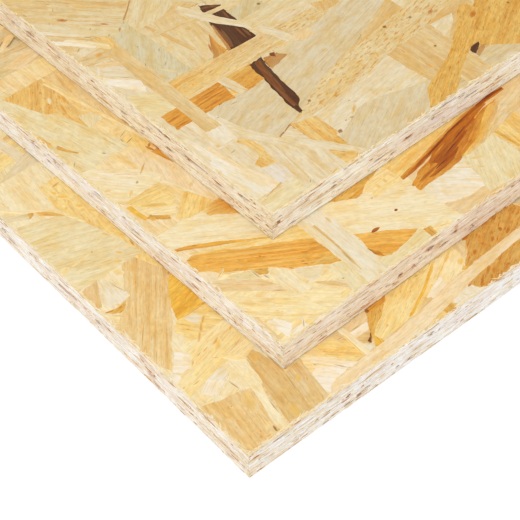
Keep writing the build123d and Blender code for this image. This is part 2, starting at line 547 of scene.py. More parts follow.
strandForm = {
    "waveLengths": (58.0, 21.0, 8.0),  # of the slow waves of a split edge
    "waveShares": (0.5, 0.32, 0.18),
    "waveSpread": (0.7, 1.4),  # each strand's waves are longer or shorter by this
    "slimWidth": 7.0,  # a narrower strand wavers less
    "tearWidth": 9.0,  # and tears less below this width
    "tearReach": 7.0,  # how far from an end its torn shape reaches
    "edgeDrop": 0.03,  # how much lower the edge band lies
    "margin": 0.22,  # a strand that reaches over the end of its face is cut off here
    "rimMost": (0.15, 0.3),  # the largest rim as a share of a strand's length and width
    # the rim is a painted shade along a strand's edge, and with a sign below 0 a painted highlight
    "rimShadeSign": (0.35, 0.5),  # middle and spread of how dark, or when below 0 light, a rim is
    "rimLimits": (-0.8, 1.0),
    "fadePower": 0.8,  # how a mark fades at its edge
    "grainShift": 900,  # so that each strand has a grain of its own
}


def strandMesh(name, place, strands, rng, shape, lower=None):
    # Each strand is a grid: a runs along its two edges and b from one to the other. A point is
    # left(a) * (1 - b) + right(a) * b, moved sideways by slow waves that fray the edges and
    # lengthwise by steps that tear the ends. One more ring stands outside the edge and lower
    # down, as the strand's thickness, so that its edge always reaches the wood below. On a sawn
    # side y runs upwards and the height outwards.
    left, right = strands["left"], strands["right"]
    count, knots = left.shape[:2]
    run = runOf(left, right)
    length = np.linalg.norm(run, axis=1).clip(0.1)
    width = np.linalg.norm(right - left, axis=2).mean(1).clip(0.1)
    axis = run / length[:, None]
    side = np.stack([-axis[:, 1], axis[:, 0]], -1)

    def steps(cuts, size, most):
        # from 0 to 1 for each strand, with the rim's width at both ends and the ring's points
        zero = np.zeros((count, 1))
        if not shape["rim"]:
            return np.concatenate([zero, zero + np.linspace(0, 1, cuts + 1), zero + 1], axis=1)
        rim = np.minimum(shape["rim"] / size, most)[:, None]
        inner = rim + (1 - 2 * rim) * np.linspace(0, 1, cuts + 1)
        return np.concatenate([zero, zero, inner, zero + 1, zero + 1], axis=1)

    a, b = [steps(*parts) for parts in zip(shape["cuts"], (length, width), strandForm["rimMost"])]
    countA, countB = a.shape[1], b.shape[1]
    ring, edge = np.ones((2, countA, countB))
    band = 2 if shape["rim"] else 1
    ring[1:-1, 1:-1] = 0
    edge[band:-band, band:-band] = 0
    outA, outB = [np.array([-1] + [0] * (size - 2) + [1]) for size in (countA, countB)]

    at = a * (knots - 1)
    low = np.minimum(at.astype(int), knots - 2)
    part = (at - low)[..., None]
    pick = np.arange(count)[:, None]
    leftAt, rightAt = [line[pick, low] * (1 - part) + line[pick, low + 1] * part
                       for line in (left, right)]

    reach, spread = a * length[:, None], strandForm["waveSpread"]
    turns = 2 * np.pi * reach[None, ..., None] / (np.array(strandForm["waveLengths"])
                                                  * rng.uniform(*spread, (2, count, 1, 3)))
    phase = rng.uniform(0, 2 * np.pi, (2, count, 1, 3))
    wander = (np.sin(turns + phase) * np.array(strandForm["waveShares"])).sum(-1) * shape["waver"]
    wander = wander + rng.normal(0, shape["fray"], (2, count, countA))
    slim = (np.linalg.norm(rightAt - leftAt, axis=2) / strandForm["slimWidth"]).clip(0, 1)
    wander = (wander * slim)[..., None]
    tear = rng.normal(0, shape["tear"], (2, count, 1, countB))
    tear = tear * (width / strandForm["tearWidth"]).clip(0, 1)[:, None, None]
    near, far = [(1 - away / strandForm["tearReach"]).clip(0, 1)[..., None]
                 for away in (reach, length[:, None] - reach)]
    b = b[:, None, :]
    sideways = wander[0] * (1 - b) + wander[1] * b + shape["skirtOut"] * outB[None, None, :]
    lengthwise = tear[0] * near + tear[1] * far + shape["skirtOut"] * outA[None, :, None]
    flat = leftAt[:, :, None] * (1 - b[..., None]) + rightAt[:, :, None] * b[..., None]
    flat = flat + side[:, None, None] * sideways[..., None] + axis[:, None, None] * lengthwise[..., None]
    x, y = flat[..., 0], flat[..., 1]

    height = strands["levels"][:, None, None] + shape["ripple"] * ripple(x, y)
    height = height - strandForm["edgeDrop"] * edge
    if lower is not None:
        height = height - lower(x, y)
    height = height - shape["skirt"] * ring

    face, margin = shape["face"], strandForm["margin"]
    spanX = board["width"] if face == "short" else board["length"]
    spanY = board["thickness"] if face in ("long", "short") else board["width"]
    cutX = np.clip(x, margin, spanX - margin)
    cutY = np.clip(y, margin, spanY - margin)
    points = toWorld(place, *{
        "top": (cutX, cutY, board["thickness"] + height),
        "under": (cutX, cutY, -height),
        "long": (cutX, -height, cutY),
        "short": (-height, cutX, cutY),
    }[face]).reshape(-1, 3)

    shift = rng.uniform(0, strandForm["grainShift"], (2, count, 1, 1))
    cosGrain, sinGrain = [turn(strands["angles"])[:, None, None] for turn in (np.cos, np.sin)]
    grainMap = np.stack([x * cosGrain + y * sinGrain + shift[0],
                         y * cosGrain - x * sinGrain + shift[1]], -1).reshape(-1, 2)
    bakeMap = np.stack([cutX / shape["mapSize"][0], cutY / shape["mapSize"][1]], -1)
    bakeMap = bakeMap.clip(0, 1).reshape(-1, 2)

    colours = strands["colours"][:, None, None]
    atA, atB = a[:, :, None, None], b[..., None]
    start, end = [colours[..., k, 0, :] * (1 - atB) + colours[..., k, 1, :] * atB for k in (0, 1)]
    colour = start * (1 - atA) + end * atA
    if "ground" in strands:
        power = strandForm["fadePower"]
        core = np.sin(np.pi * a[:, :, None]).clip(0) ** power * np.sin(np.pi * b).clip(0) ** power
        core = np.maximum(core, strands["crisp"][:, None, None])[..., None]
        colour = colour * core + strands["ground"][:, None, None] * (1 - core)
    perPoint = countA * countB
    # each strand's edge band gets a painted shade, and where its sign is below 0 a painted highlight
    rimShadeSign = rng.normal(*strandForm["rimShadeSign"], count).clip(*strandForm["rimLimits"])
    rimShadeSign = rimShadeSign * (1 - strands["soft"])
    attributes = {
        "tone": np.concatenate([colour.clip(0, 0.95), np.ones((*x.shape, 1))], -1).reshape(-1, 4),
        "streak": np.repeat(strands["streak"], perPoint),
        "fleck": np.repeat(strands["fleck"], perPoint),
        "rim": (rimShadeSign[:, None, None] * edge).ravel(),
    }

    i, j = np.meshgrid(np.arange(countA - 1), np.arange(countB - 1), indexing="ij")
    cell = gridQuads(i, j, i + 1, countB)
    quads = (cell.reshape(1, -1, 4) + np.arange(count)[:, None, None] * perPoint).reshape(-1, 4)
    gone = np.zeros(len(quads), bool)
    for values, limit in ((x, spanX), (y, spanY)):
        line = values.reshape(-1)[quads]
        gone |= (line <= margin).all(1) | (line >= limit - margin).all(1)
    quads = quads[~gone]
    if face in ("under", "short"):
        quads = quads[:, ::-1]
    return makePiece(name, points, quads, {"grain": grainMap, "OFBake": bakeMap}, attributes,
                     strandMaterial)


# The strands seen at the near corner of the top board, the lowest first
topStrands = [
    ["tan", (55, 0, 55, 60), (205, 0, 205, 60), 10],
    ["cream", (0, 0, 0, 185), (36, 0, 36, 185), 95],
    ["straw", (28, 95, 28, 180), (130, 95, 130, 140), 80],
    ["sand/straw", (0, 175, 0, 260), (90, 160, 20, 260), -50],
    ["straw", (90, 85, 90, 165), (190, 60, 140, 150), 10],
    ["cream", (64, 45, 100, 46, 136, 51), (64, 18, 80, 20, 137, 12), 8],
    ["reed", (66, 19, 80, 25, 93, 31, 105, 28.5, 120, 23.5, 137, 17), (66, 0, 138, 0), 28],
    ["tan/sand", (133.5, 53, 134.5, 33, 137, 8), (171, 55, 171, 30, 165, 8), 90],
    ["reed", (140, 2, 152, 8, 165, 17, 175, 19, 186, 16, 196, 8, 206, 0), (140, 0, 206, 0), 0],
    ["sand", (150, -2, 150, 20), (170.5, -2, 170.5, 20), 90],
    ["cream", (171, 53, 190, 51), (171, 37, 181, 43), 20],
    ["speckled", (67, 53, 88, 60, 112, 67, 140, 73, 170, 80, 205, 92),
     (67, 42, 100, 44, 117, 46.5, 133, 50, 150, 51, 170, 53, 205, 62), 12],
    ["cream", (170.5, 88, 200, 100), (170.5, 74, 200, 80)],
    ["reed", (27, 83, 60, 84, 90, 91, 115, 98, 135, 101, 150, 104, 180, 114),
     (33, 40, 55, 45.5, 70, 50, 88, 59, 112, 66, 131, 71, 150, 79, 172, 88), 15],
    ["tan", (110, 65.5, 131, 71, 150, 79, 172, 88), (110, 65.3, 131, 68, 150, 71, 171, 73), 18],
    ["gold", (172, 23, 200, 45, 230, 66), (182, 17, 190, 11, 200, 3, 235, 5), 30],
    ["gold", (119, 2.5, 131, 15, 147, 21.5, 160, 27, 170, 32.5, 185, 44, 198, 54),
     (125, 0.5, 140, 1.5, 150, 8, 165, 17, 172, 22, 185, 30, 205, 44), 30],
    ["toast", (171.5, 16, 176, 18.4, 180.5, 20.5), (171.8, 13.2, 176, 15, 180.5, 17), 25],
    ["bark", (171.5, 20.2, 175, 22.8, 181.5, 23), (171.5, 16, 175.5, 18.3, 180, 21), 25],
    ["frost", (0, 14, 0, 52), (12, 14, 5, 52), 100],
    ["blush", (5.5, 62, 9.5, 40, 13, 28, 14, 15), (10.5, 62, 13, 40, 17, 28, 19.5, 15)],
    ["chalk/white", (1, 75, 5, 45, 11, 14), (6, 75, 9.5, 45, 17, 14)],
    ["chalk", (12, 57, 12, 84), (28, 57, 27, 84), 80],
    ["cream", (13, 36, 13, 57), (27, 36, 27, 57), 90],
    ["honey", (23, 55, 25.5, 48, 26.5, 43, 24, 37.5, 18.5, 35, 19.5, 30.5),
     (26, 56, 30.5, 51, 32, 44, 31, 36, 28.8, 28.5)],
    ["ash", (19, 15, 19, 29), (30, 15, 29, 28)],
    ["linen", (0, 0, 30, 0), (0, 12.5, 28, 12.5), 0],
    ["white", (1, 9, 8, 7.8), (1, 7.8, 8, 6.6)],
    ["tan", (7, 12.6, 13, 14.2, 20, 15.6), (7, 11.8, 13, 13.2, 20, 14.4)],
    ["cream", (30.5, 41, 29, 20, 26, 0), (37, 41, 35.5, 25, 32.5, 0)],
    ["cream", (36.5, 40, 34.5, 15, 33, 0), (55, 24, 56, 0), 85],
    ["tan", (36.8, 39, 35.5, 28, 34, 18, 33, 8), (37.4, 39, 36.1, 28, 34.8, 18, 33.6, 8)],
    ["cream", (41, 41, 54, 45), (50, 30, 54.5, 27), -50],
    ["honey", (54.5, 16, 55.5, 0), (60, 10, 67.5, 1), -30],
    ["honey", (54, 45.5, 54, 28, 60, 20), (69, 40.5, 69.8, 24, 64.5, 20), 85],
    ["gold", (60.5, 20.5, 63.5, 14), (66.5, 21, 66.5, 13.5)],
    ["straw", (55, 45.5, 64, 46.5, 67, 50), (57, 44, 63, 42.5, 68, 40.5)],
    ["toast", (41, 41, 48, 43, 55, 45.6), (41.2, 40.4, 48, 42.2, 55, 45)],
    ["cream", (26.5, 78, 29, 62, 32, 50, 36, 40, 45, 30, 53, 20, 61, 10, 66, 3),
     (29.5, 78, 33, 62, 39, 50, 44.5, 40, 52.5, 30, 61, 20, 67, 10, 71, 3)],
    ["amber", (6, 98.5, 28, 98.5, 49, 98.5), (6.5, 83.5, 16, 83.3, 28, 83, 36, 84, 47, 82.3), 0],
    ["gold/amber", (53, 98.5, 73, 98.5), (55, 82, 70, 83), 0],
    ["honey>straw", (26, 117.5, 45, 117.5, 60, 115.8, 92, 115.3, 110, 112),
     (26, 100, 60, 99.5, 84, 99, 112, 98), 0],
    ["hay", (27, 101, 50, 101, 72, 100), (27, 98.3, 50, 98.5, 72, 98.3)],
    ["bark", (64.3, 48.5, 64.5, 58, 66.5, 72, 68.5, 82, 70.8, 98),
     (66.5, 48, 68, 54, 72, 56, 75, 70, 77, 84, 80.5, 98), 85],
    ["rust", (65.4, 54, 66.4, 66, 68.9, 80, 73.8, 97), (68.2, 54, 69.6, 66, 72.8, 80, 79, 97), 85],
    ["toast", (78, 86, 80.5, 97), (93.5, 89.5, 88.5, 95), 15],
    ["rust", (84.5, 95, 86, 97), (87, 92, 89, 96.5)],
    ["cream", (47.5, 99.5, 51, 82), (54.5, 99.5, 56.5, 82), -70],
    ["sage", (28, 117, 28, 174), (50, 117, 43, 179), 55],
    ["straw/sand", (45, 117, 43, 180), (75, 117, 73, 150, 66, 178), 80],
    ["bark", (70.5, 114, 79.5, 143, 82, 151, 84.5, 158), (91.5, 114, 92.5, 131, 93.8, 146, 95, 150.5), 75],
    ["rust", (72.5, 116, 78.5, 141), (76.5, 116, 79.8, 138)],
    ["toast/amber", (59.5, 115.5, 66, 126, 72.3, 134.5), (70.5, 115.5, 71, 125, 72.3, 134.5), 65],
    ["toast", (70.5, 115, 73.5, 125, 78, 138), (73, 115, 76, 125, 79.5, 140)],
    ["tan", (42.5, 180, 49, 160, 55.5, 129), (45.5, 180, 52.5, 160, 59, 128)],
    ["tan", (58, 176, 72, 177, 80, 168), (58, 165, 70, 163, 84, 160), 10],
    ["sand", (50, 158, 60, 156.5, 75, 152, 85, 151, 96, 149.5, 112, 143),
     (50, 154, 62, 150, 75, 147.5, 85, 147, 96, 145.2, 110, 139), -5],
    ["cream", (71, 166, 77, 147, 86.5, 131, 92, 122.5, 96, 112, 101, 98),
     (76, 166, 83, 151, 91.5, 135, 97, 126, 103, 112, 107, 98), -60],
    ["sage", (93, 143, 112, 144), (94, 131, 116, 131), 40],
    ["straw", (94, 131, 122, 131), (94, 120, 134, 120), 0],
    ["cream", (104, 116, 112, 121, 125, 121.5, 135, 119), (104, 115, 112, 112.5, 125, 111.5, 134, 112)],
    ["speckled", (105, 112, 132, 111), (110, 100, 134, 101.5), 0],
    ["tan", (134, 115, 150, 108), (134, 103, 147, 104), 60],
    ["peach", (103, 100, 118, 99), (106, 93, 118, 92), 30],
    ["linen", (0, 98, 3, 124), (19, 98, 19, 116), -50],
    ["sand", (0, 168, 18, 168), (4, 158, 19, 156), -20],
    ["peach", (6, 158, 12, 155, 19.5, 152), (8, 153, 14, 150, 19, 144), -30],
    ["cream", (8, 152, 19, 140), (4, 146, 17, 133), -45],
    ["white", (0, 141, 6, 132, 14, 119), (3.5, 146, 10, 138, 18, 130)],
    ["tan/sand", (18.5, 178, 17.5, 130, 17, 100, 16.6, 71), (29, 178, 27.5, 130, 26.8, 100, 26.5, 71), 90],
    ["honey", (20, 177, 20, 162), (29, 175, 28, 162), 90],
    ["ivory", (3, 187, 14, 172, 22, 162), (9, 187, 18, 177, 24, 166), -50],
    ["sand/straw", (0, 246, 30, 216, 62, 184), (0, 222, 14, 208, 42, 178), -48],
    ["sand", (0, 234, 12, 226, 22, 224), (0, 226, 6, 218, 14, 210), -50],
    ["straw", (0, 218, 16, 198, 40, 172), (0, 205, 14, 188, 30, 170), -50],
    ["cream", (0, 217, 8, 207, 17, 193.5), (0, 212, 7, 203.5, 15, 192.5)],
    ["chalk", (0, 206, 9, 195, 22, 181), (0, 201, 9, 191, 19, 180)],
    ["white", (0, 193, 8, 184, 18, 170), (0, 187, 7, 180, 16, 169.5)],
    ["cream", (19, 200, 30, 189.5, 41, 176), (17.5, 198, 28, 188, 39, 175)],
    ["straw", (42, 178, 58.5, 192, 75, 176), (46, 165, 62, 165, 75, 170), 40],
    # a thin toast line along the end of the straw strand before it: painted shadow at that end
    ["toast", (43, 178.5, 50, 184, 58, 191), (44, 177.3, 51, 182.8, 59, 190)],
]
topMarks = [
    ("amber", (174, 30, 10, 2, 35), (182, 35, 8, 2, 35), (186, 41, 7, 3, 35), (125.5, 5, 6, 3, 45),
     (148, 19, 5, 2, 15), (170, 25.5, 8, 1.5, 20), (205, 19, 9, 2.5, 35), (143, 46, 6, 2, 90),
     (137, 25, 5, 2, 90), (145, 27, 6, 3, 90), (168, 8, 7, 1.5, 85)),
    ("copper", (197, 42, 7, 3, 30), (180.5, 60.5, 5, 2, 20)),
    ("sepia", (8, 174.5, 4.5, 1.4, 35), (42.5, 176.5, 4, 1.2, 40)),
    ("copper", (64.5, 124, 8, 1, 65), (17.5, 203, 6, 2, -50), (33.5, 183, 6, 1.5, -50)),
    ("rust", (151, 69, 2.5, 1.8, 10), (168, 65, 2, 1.3, 40), (112, 135.3, 2.5, 2, 0),
     (160, 37, 1.3, 1.2, 0), (220, 35, 1.5, 1.5, 0), (75, 52, 2, 1.3, 30), (70.3, 22.5, 3, 2, 30)),
    ("gold", (107, 62, 4, 2, 10), (103, 53, 4, 2.5, 0), (130, 54, 4, 3, 60), (117, 47, 6, 1.5, 15),
     (158, 70, 4, 2.5, 0), (88, 30, 9, 2, 40)),
    ("honey", (95, 54, 12, 5, 10), (97, 47, 8, 3, 20)),
    ("gold", (111, 78, 4, 1.5, 10), (48.5, 58, 6, 1.6, 15), (14, 59, 3, 3, 0), (123, 116.5, 4, 2.5, 0),
     (97, 99, 8, 3, 0), (126.5, 104, 6, 3, 0)),
    ("honey", (47, 139.5, 6, 4, 0)),
    ("gold", (67, 146, 4, 5, 0), (33, 110, 6, 3, 0), (29, 123.5, 8, 3, -80), (32, 206, 14, 3.5, -60),
     (35, 59, 3, 2, 60), (62, 6, 7, 5, -40)),
    ("amber", (14, 163, 6, 4, 10), (46, 2, 8, 1.5, 10)),
    # the sepia mark at 13, 137 is a painted shadow line along a strand's edge
    ("sepia", (29, 76, 2.5, 1, 0), (43, 79, 6, 0.8, -5), (17, 50, 6, 1, 10), (78.5, 26.5, 2.5, 1.5, 30),
     (83, 26, 3, 1.5, -20), (91, 37, 2, 1.3, 0), (93, 34, 1.5, 1, 0), (114, 27.5, 3, 1, 0),
     (32, 5.5, 4, 1.2, 50), (13, 137, 10, 0.9, -38), (37, 131, 5, 1, 40), (42, 143, 4, 1, 55),
     (34.5, 153.5, 2, 1.3, 0), (28, 138, 3, 1, 60), (37, 173, 5, 2, 45), (29, 173, 3, 1.5, 50),
     (19, 180, 6, 1.5, -45), (24.5, 185, 2.5, 1.5, 40), (3.8, 221.5, 4, 1.3, -70), (39, 194, 2, 1.2, 0),
     (10, 205.5, 3, 1, 60), (19, 214, 8, 0.8, 55)),
    ("tan", (19.5, 57, 12, 1, 0), (27, 55, 5, 1.2, -35)),
    ("peach", (73.5, 33.5, 9, 1, 45)),
    ("white", (4.5, 151.5, 10, 1.3, 52)),
    ("chalk", (34.5, 125, 14, 2.5, -55)),
    ("walnut", (86.8, 123, 13, 1.2, 82), (89.4, 120.5, 9, 1.6, 84), (76.3, 121, 11, 1.2, 74),
     (78, 125, 16, 1.6, 74), (91, 141, 9, 1.3, 78)),
    ("rust", (86.5, 154, 6, 1.6, -20), (90.5, 152, 7, 1.4, -30)),
    ("walnut", (68.5, 70, 14, 1, 84)),
    ("rust", (72, 74, 16, 1, 76), (74.5, 84, 10, 0.8, 76)),
    ("copper", (37, 86.5, 18, 1, 0), (11.5, 85.5, 8, 1, 0), (36, 91, 20, 0.9, 0), (11, 92, 9, 0.9, 0),
     (38, 95, 16, 0.8, 0)),
]

# The same for the middle board, which shows as a strip along each side of its near corner
middleStrands = [
    ["butter", (0, 0, 0, 60), (130, 0, 130, 60), 0],
    ["peach", (125, 0, 125, 60), (260, 0, 260, 60), 0],
    ["blush/maize", (0, 55, 0, 260), (60, 55, 60, 260), 90],
    ["butter", (0, 46, 20, 26, 48, 0), (0, 24, 14, 10, 26, 0), -45],
    ["butter", (26, 30, 48, 8), (14, 24, 40, -2), -45],
    ["peach", (0, 28, 0, 5), (4, 22, 3, 6), 90],
    ["white", (4, 18, 6, 2), (10, 16, 14, 8), -60],
    ["white", (8, 0, 20, 0), (10, 5, 18, 5), 0],
    ["peach", (0, 58, 10, 52, 22, 42, 26.5, 30), (0, 49, 8, 42, 17, 34, 26.5, 25.5), -45],
    ["linen", (10.5, 54, 22.5, 49), (12, 49, 22, 40), -30],
    ["ivory", (25, 40, 33, 42.5, 38, 36), (27, 20, 38, 18), 90],
    ["chalk", (38.5, 36, 52, 26), (39, 22, 47, 21), -40],
    ["linen", (52, 24, 61, 21), (50, 0, 61, 0), 80],
    ["wheat", (40, 21, 47, 16, 53.5, 11), (43, 15, 48, 10, 51, 3), -50],
    ["maize", (6, 79.5, 30, 68, 46, 59.5, 62, 57), (8, 77.5, 30, 64, 48, 53, 62, 43)],
    ["apricot", (0.5, 76, 7, 77, 20, 70, 30, 63, 45, 54, 62, 43.5),
     (0.5, 67, 7, 62, 9, 57.5, 20, 50.5, 28, 46.5, 33, 42, 38, 36, 45, 31.5, 53, 26, 61, 21.5), -35],
    ["apricot/gold", (8, 76, 30, 62.5, 48, 52.5), (6, 73, 29, 60, 48, 50.5), -35],
    ["amber", (49, 41, 61.5, 37.5), (50, 39, 61.5, 33.5), -30],
    ["gold", (47, 33, 55, 30.5, 61, 28), (47, 30, 54, 26, 60.5, 22.5), -28],
    ["amber>saffron", (2.5, 87, 10, 84, 20, 78, 30, 71, 38, 65, 45, 60),
     (3, 84.5, 10, 80.5, 20, 74, 30, 68.5, 38, 63.5, 45, 59)],
    ["gold", (22.5, 49, 30, 44), (23, 43, 27, 41)],
    ["mist", (61.5, 57, 62, 40, 61, 20, 61, 0), (79.5, 57, 79.5, 30, 77, 15, 75, 0), 88],
    ["tan", (66, 50, 66.2, 40, 65.6, 30, 64.6, 18, 63.8, 10),
     (69, 50, 68.2, 40, 67.6, 30, 65.9, 18, 64.4, 10), 88],
    ["ivory", (78, 57, 130, 57), (78, 28, 100, 12, 130, 0), -35],
    ["linen", (75, 9, 108, 10), (75, 0, 108, 0), 5],
    ["apricot", (79, 30.5, 92, 22.5, 106.5, 10.8), (76.2, 13, 78, 9, 82.5, 6, 106.5, 10.4), -38],
    ["amber", (76.6, 19.5, 80.5, 13), (76.2, 13, 79.5, 8), -40],
    ["gold", (84, 57.5, 105, 58, 122, 57),
     (88, 54.5, 92.5, 52, 98.5, 48, 103, 49, 110, 52.5, 122, 56.6), 5],
    ["butter/maize", (106, 52, 112, 54, 127, 57), (106, 42, 128, 41), 0],
    ["gold", (108, 8.5, 107.3, 1.2), (112.5, 8, 112, 1.2), 88],
    ["chalk/white", (129, 29.5, 150, 29.8, 166, 31.5), (129, 14, 145, 8, 160, 9), -40],
    ["linen", (163, 32, 190, 35), (155, 3, 190, 0), 60],
    ["corn", (190, 33.5, 191, 14), (214, 38, 205, 14), 85],
    ["gold", (190.5, 33.5, 192, 16), (193.5, 33.5, 194.5, 16)],
    ["wheat", (176, 34, 190, 41.5, 205, 46, 222, 52, 245, 58),
     (178, 32.5, 200, 34.5, 215, 37, 240, 40), 12],
    ["corn", (126, 57.5, 190, 58), (127, 44, 150, 48.5, 175, 53, 190, 56), 5],
    ["amber", (165, 45, 185, 49.5, 213, 52), (165, 32.5, 178, 37, 190, 43.5, 207, 49.5), 12],
    ["amber>copper", (127.5, 36, 131, 37.5, 137, 40.5, 150, 43, 170, 48, 192, 50),
     (127.5, 29.3, 140, 30, 150, 30.2, 160, 31, 170, 33.3, 180, 38, 191, 46), 10],
    ["copper/amber", (162, 35, 172, 38, 181, 43, 190, 48, 202, 51.8),
     (165, 32, 176, 34.6, 185.5, 39.2, 194.5, 45.6, 206, 50.6), 20],
    ["saffron/wheat", (163, 32.4, 176, 35.2, 185.2, 39.8, 194, 46.2, 206, 51),
     (169, 30.4, 182, 31.8, 194, 36.8, 204, 43, 212, 49.6), 22],
    ["copper", (148, 42.8, 160, 47.2, 170, 49.7, 180, 51.7, 192, 53.2, 205, 53.6),
     (144, 38, 155, 39, 168, 41.5, 182, 46, 194, 50, 205, 52.5), 10],
    ["russet>copper", (147, 40.5, 160, 44.5, 172, 47.3, 184, 49.8),
     (152, 36, 162, 37.5, 174, 41.5, 186, 48.6), 12],
    ["copper>russet", (138, 33.6, 150, 35.6, 162, 38.5, 168, 39.5),
     (139, 32.4, 150, 32, 160, 34.2, 168, 38.6), 8],
    ["amber", (128, 35.4, 136, 38.4, 144, 40.6), (129, 33.4, 138, 35.4, 146, 38.8), 14],
    ["amber/copper", (127, 44, 140, 46.5, 150, 48.5, 160, 50.5, 170, 52.3, 180, 54, 190, 55.8, 222, 56.8),
     (127, 41.2, 140, 42.3, 150, 44.5, 160, 47, 170, 49.5, 180, 51.5, 190, 53, 222, 54), 9],
    ["copper>mahogany", (132, 43.6, 150, 47.2, 165, 50.4, 180, 53.2, 195, 55.4, 210, 56.8, 222, 56.5),
     (132, 42.2, 150, 44.6, 165, 47.6, 180, 50.8, 195, 52.8, 210, 54.3, 222, 54.6), 9],
    ["mahogany", (198, 55.8, 210, 57, 222.3, 56.2), (200, 54.6, 210, 55.2, 222, 55.2)],
    ["ivory", (0, 100, 45, 100), (0, 89, 10, 84, 20, 78, 30, 71, 38, 65.2, 45, 62), -35],
    ["corn", (18, 103, 25, 108.5, 33, 115.5, 36, 115), (23, 99.5, 31, 98, 40, 98, 41, 104), 40],
    ["corn>amber", (31, 98, 38, 100, 45, 99), (31.5, 93, 37, 89.5, 45, 83.5), -15],
    ["maize", (5, 131, 29, 131.5), (8, 122.5, 16, 117, 24, 111.5, 28.5, 116), -10],
    ["saffron", (3, 128, 3.2, 121, 5, 113.5), (6.5, 127, 6.5, 121, 7.5, 114.5)],
    ["butter", (7, 122, 25, 112), (10, 113, 20, 106), -30],
    ["gold", (6, 114, 15.5, 105), (9.5, 115, 17, 107.5), -45],
    ["blush", (28, 160, 31, 130, 36, 114, 42, 100), (46, 160, 46, 100), 75],
    ["ivory", (29, 131, 35, 116, 41, 103), (31.5, 131, 37.5, 116, 43, 101)],
    ["ivory", (0, 172, 12, 160, 28, 146, 34, 134), (0, 131, 28, 131), -50],
    ["corn", (35, 168, 38, 158, 41, 152), (46, 165, 45.5, 155)],
    ["amber", (40.5, 153, 43, 143, 44.5, 137.5), (45.5, 153, 45.2, 145, 45, 137.5), -80],
    ["linen", (0, 250, 0, 165), (12, 250, 36, 165), 100],
    ["hay", (34, 245, 38, 222, 40, 200, 43, 180), (46, 245, 46, 180), 80],
    ["honey", (5, 245, 8.5, 238, 12, 228, 16, 217.5, 22, 213), (33, 245, 33, 230, 33, 215), 55],
    ["honey", (21, 216, 23, 207, 27, 194), (33.5, 224, 33, 210, 28.5, 193.5), 80],
    ["linen", (29, 204, 27.5, 192), (37, 202, 38.5, 193), 60],
    ["corn", (35.5, 172, 38, 155), (46, 172, 46, 155), 75],
    ["butter", (30.5, 240, 34, 224, 37.5, 205, 40, 190, 44.5, 163),
     (33, 240, 36.5, 224, 39.8, 205, 42.5, 190, 46.5, 165)],
    ["honey", (1, 206, 1, 195, 2.5, 192), (3, 205, 4.3, 196, 3, 192)],
    ["gold", (3.5, 190, 6, 185, 10.5, 178.8), (6, 193, 8, 186, 11.3, 179.5)],
    ["white", (2, 159, 10, 148, 18, 138), (3.2, 160, 11.2, 149, 19.2, 139)],
    ["white", (8, 159, 16, 149.5, 24, 140.5), (9, 160, 17, 150.5, 25, 141.5)],
    ["peach", (14, 152, 24, 143), (14.6, 153, 24.6, 144)],
    ["copper/russet", (86.4, 25.4, 87.6, 26.4, 89.5, 26.6, 91.3, 26, 92.2, 25.1),
     (86.4, 25.2, 87.4, 24.5, 89.3, 24.2, 91.2, 24.5, 92.2, 24.9)],
    ["russet", (106.6, 28.2, 107.3, 28.9, 108.1, 28.8, 108.7, 28.2),
     (106.6, 28, 107.2, 27.3, 108.1, 27.4, 108.7, 28)],
]
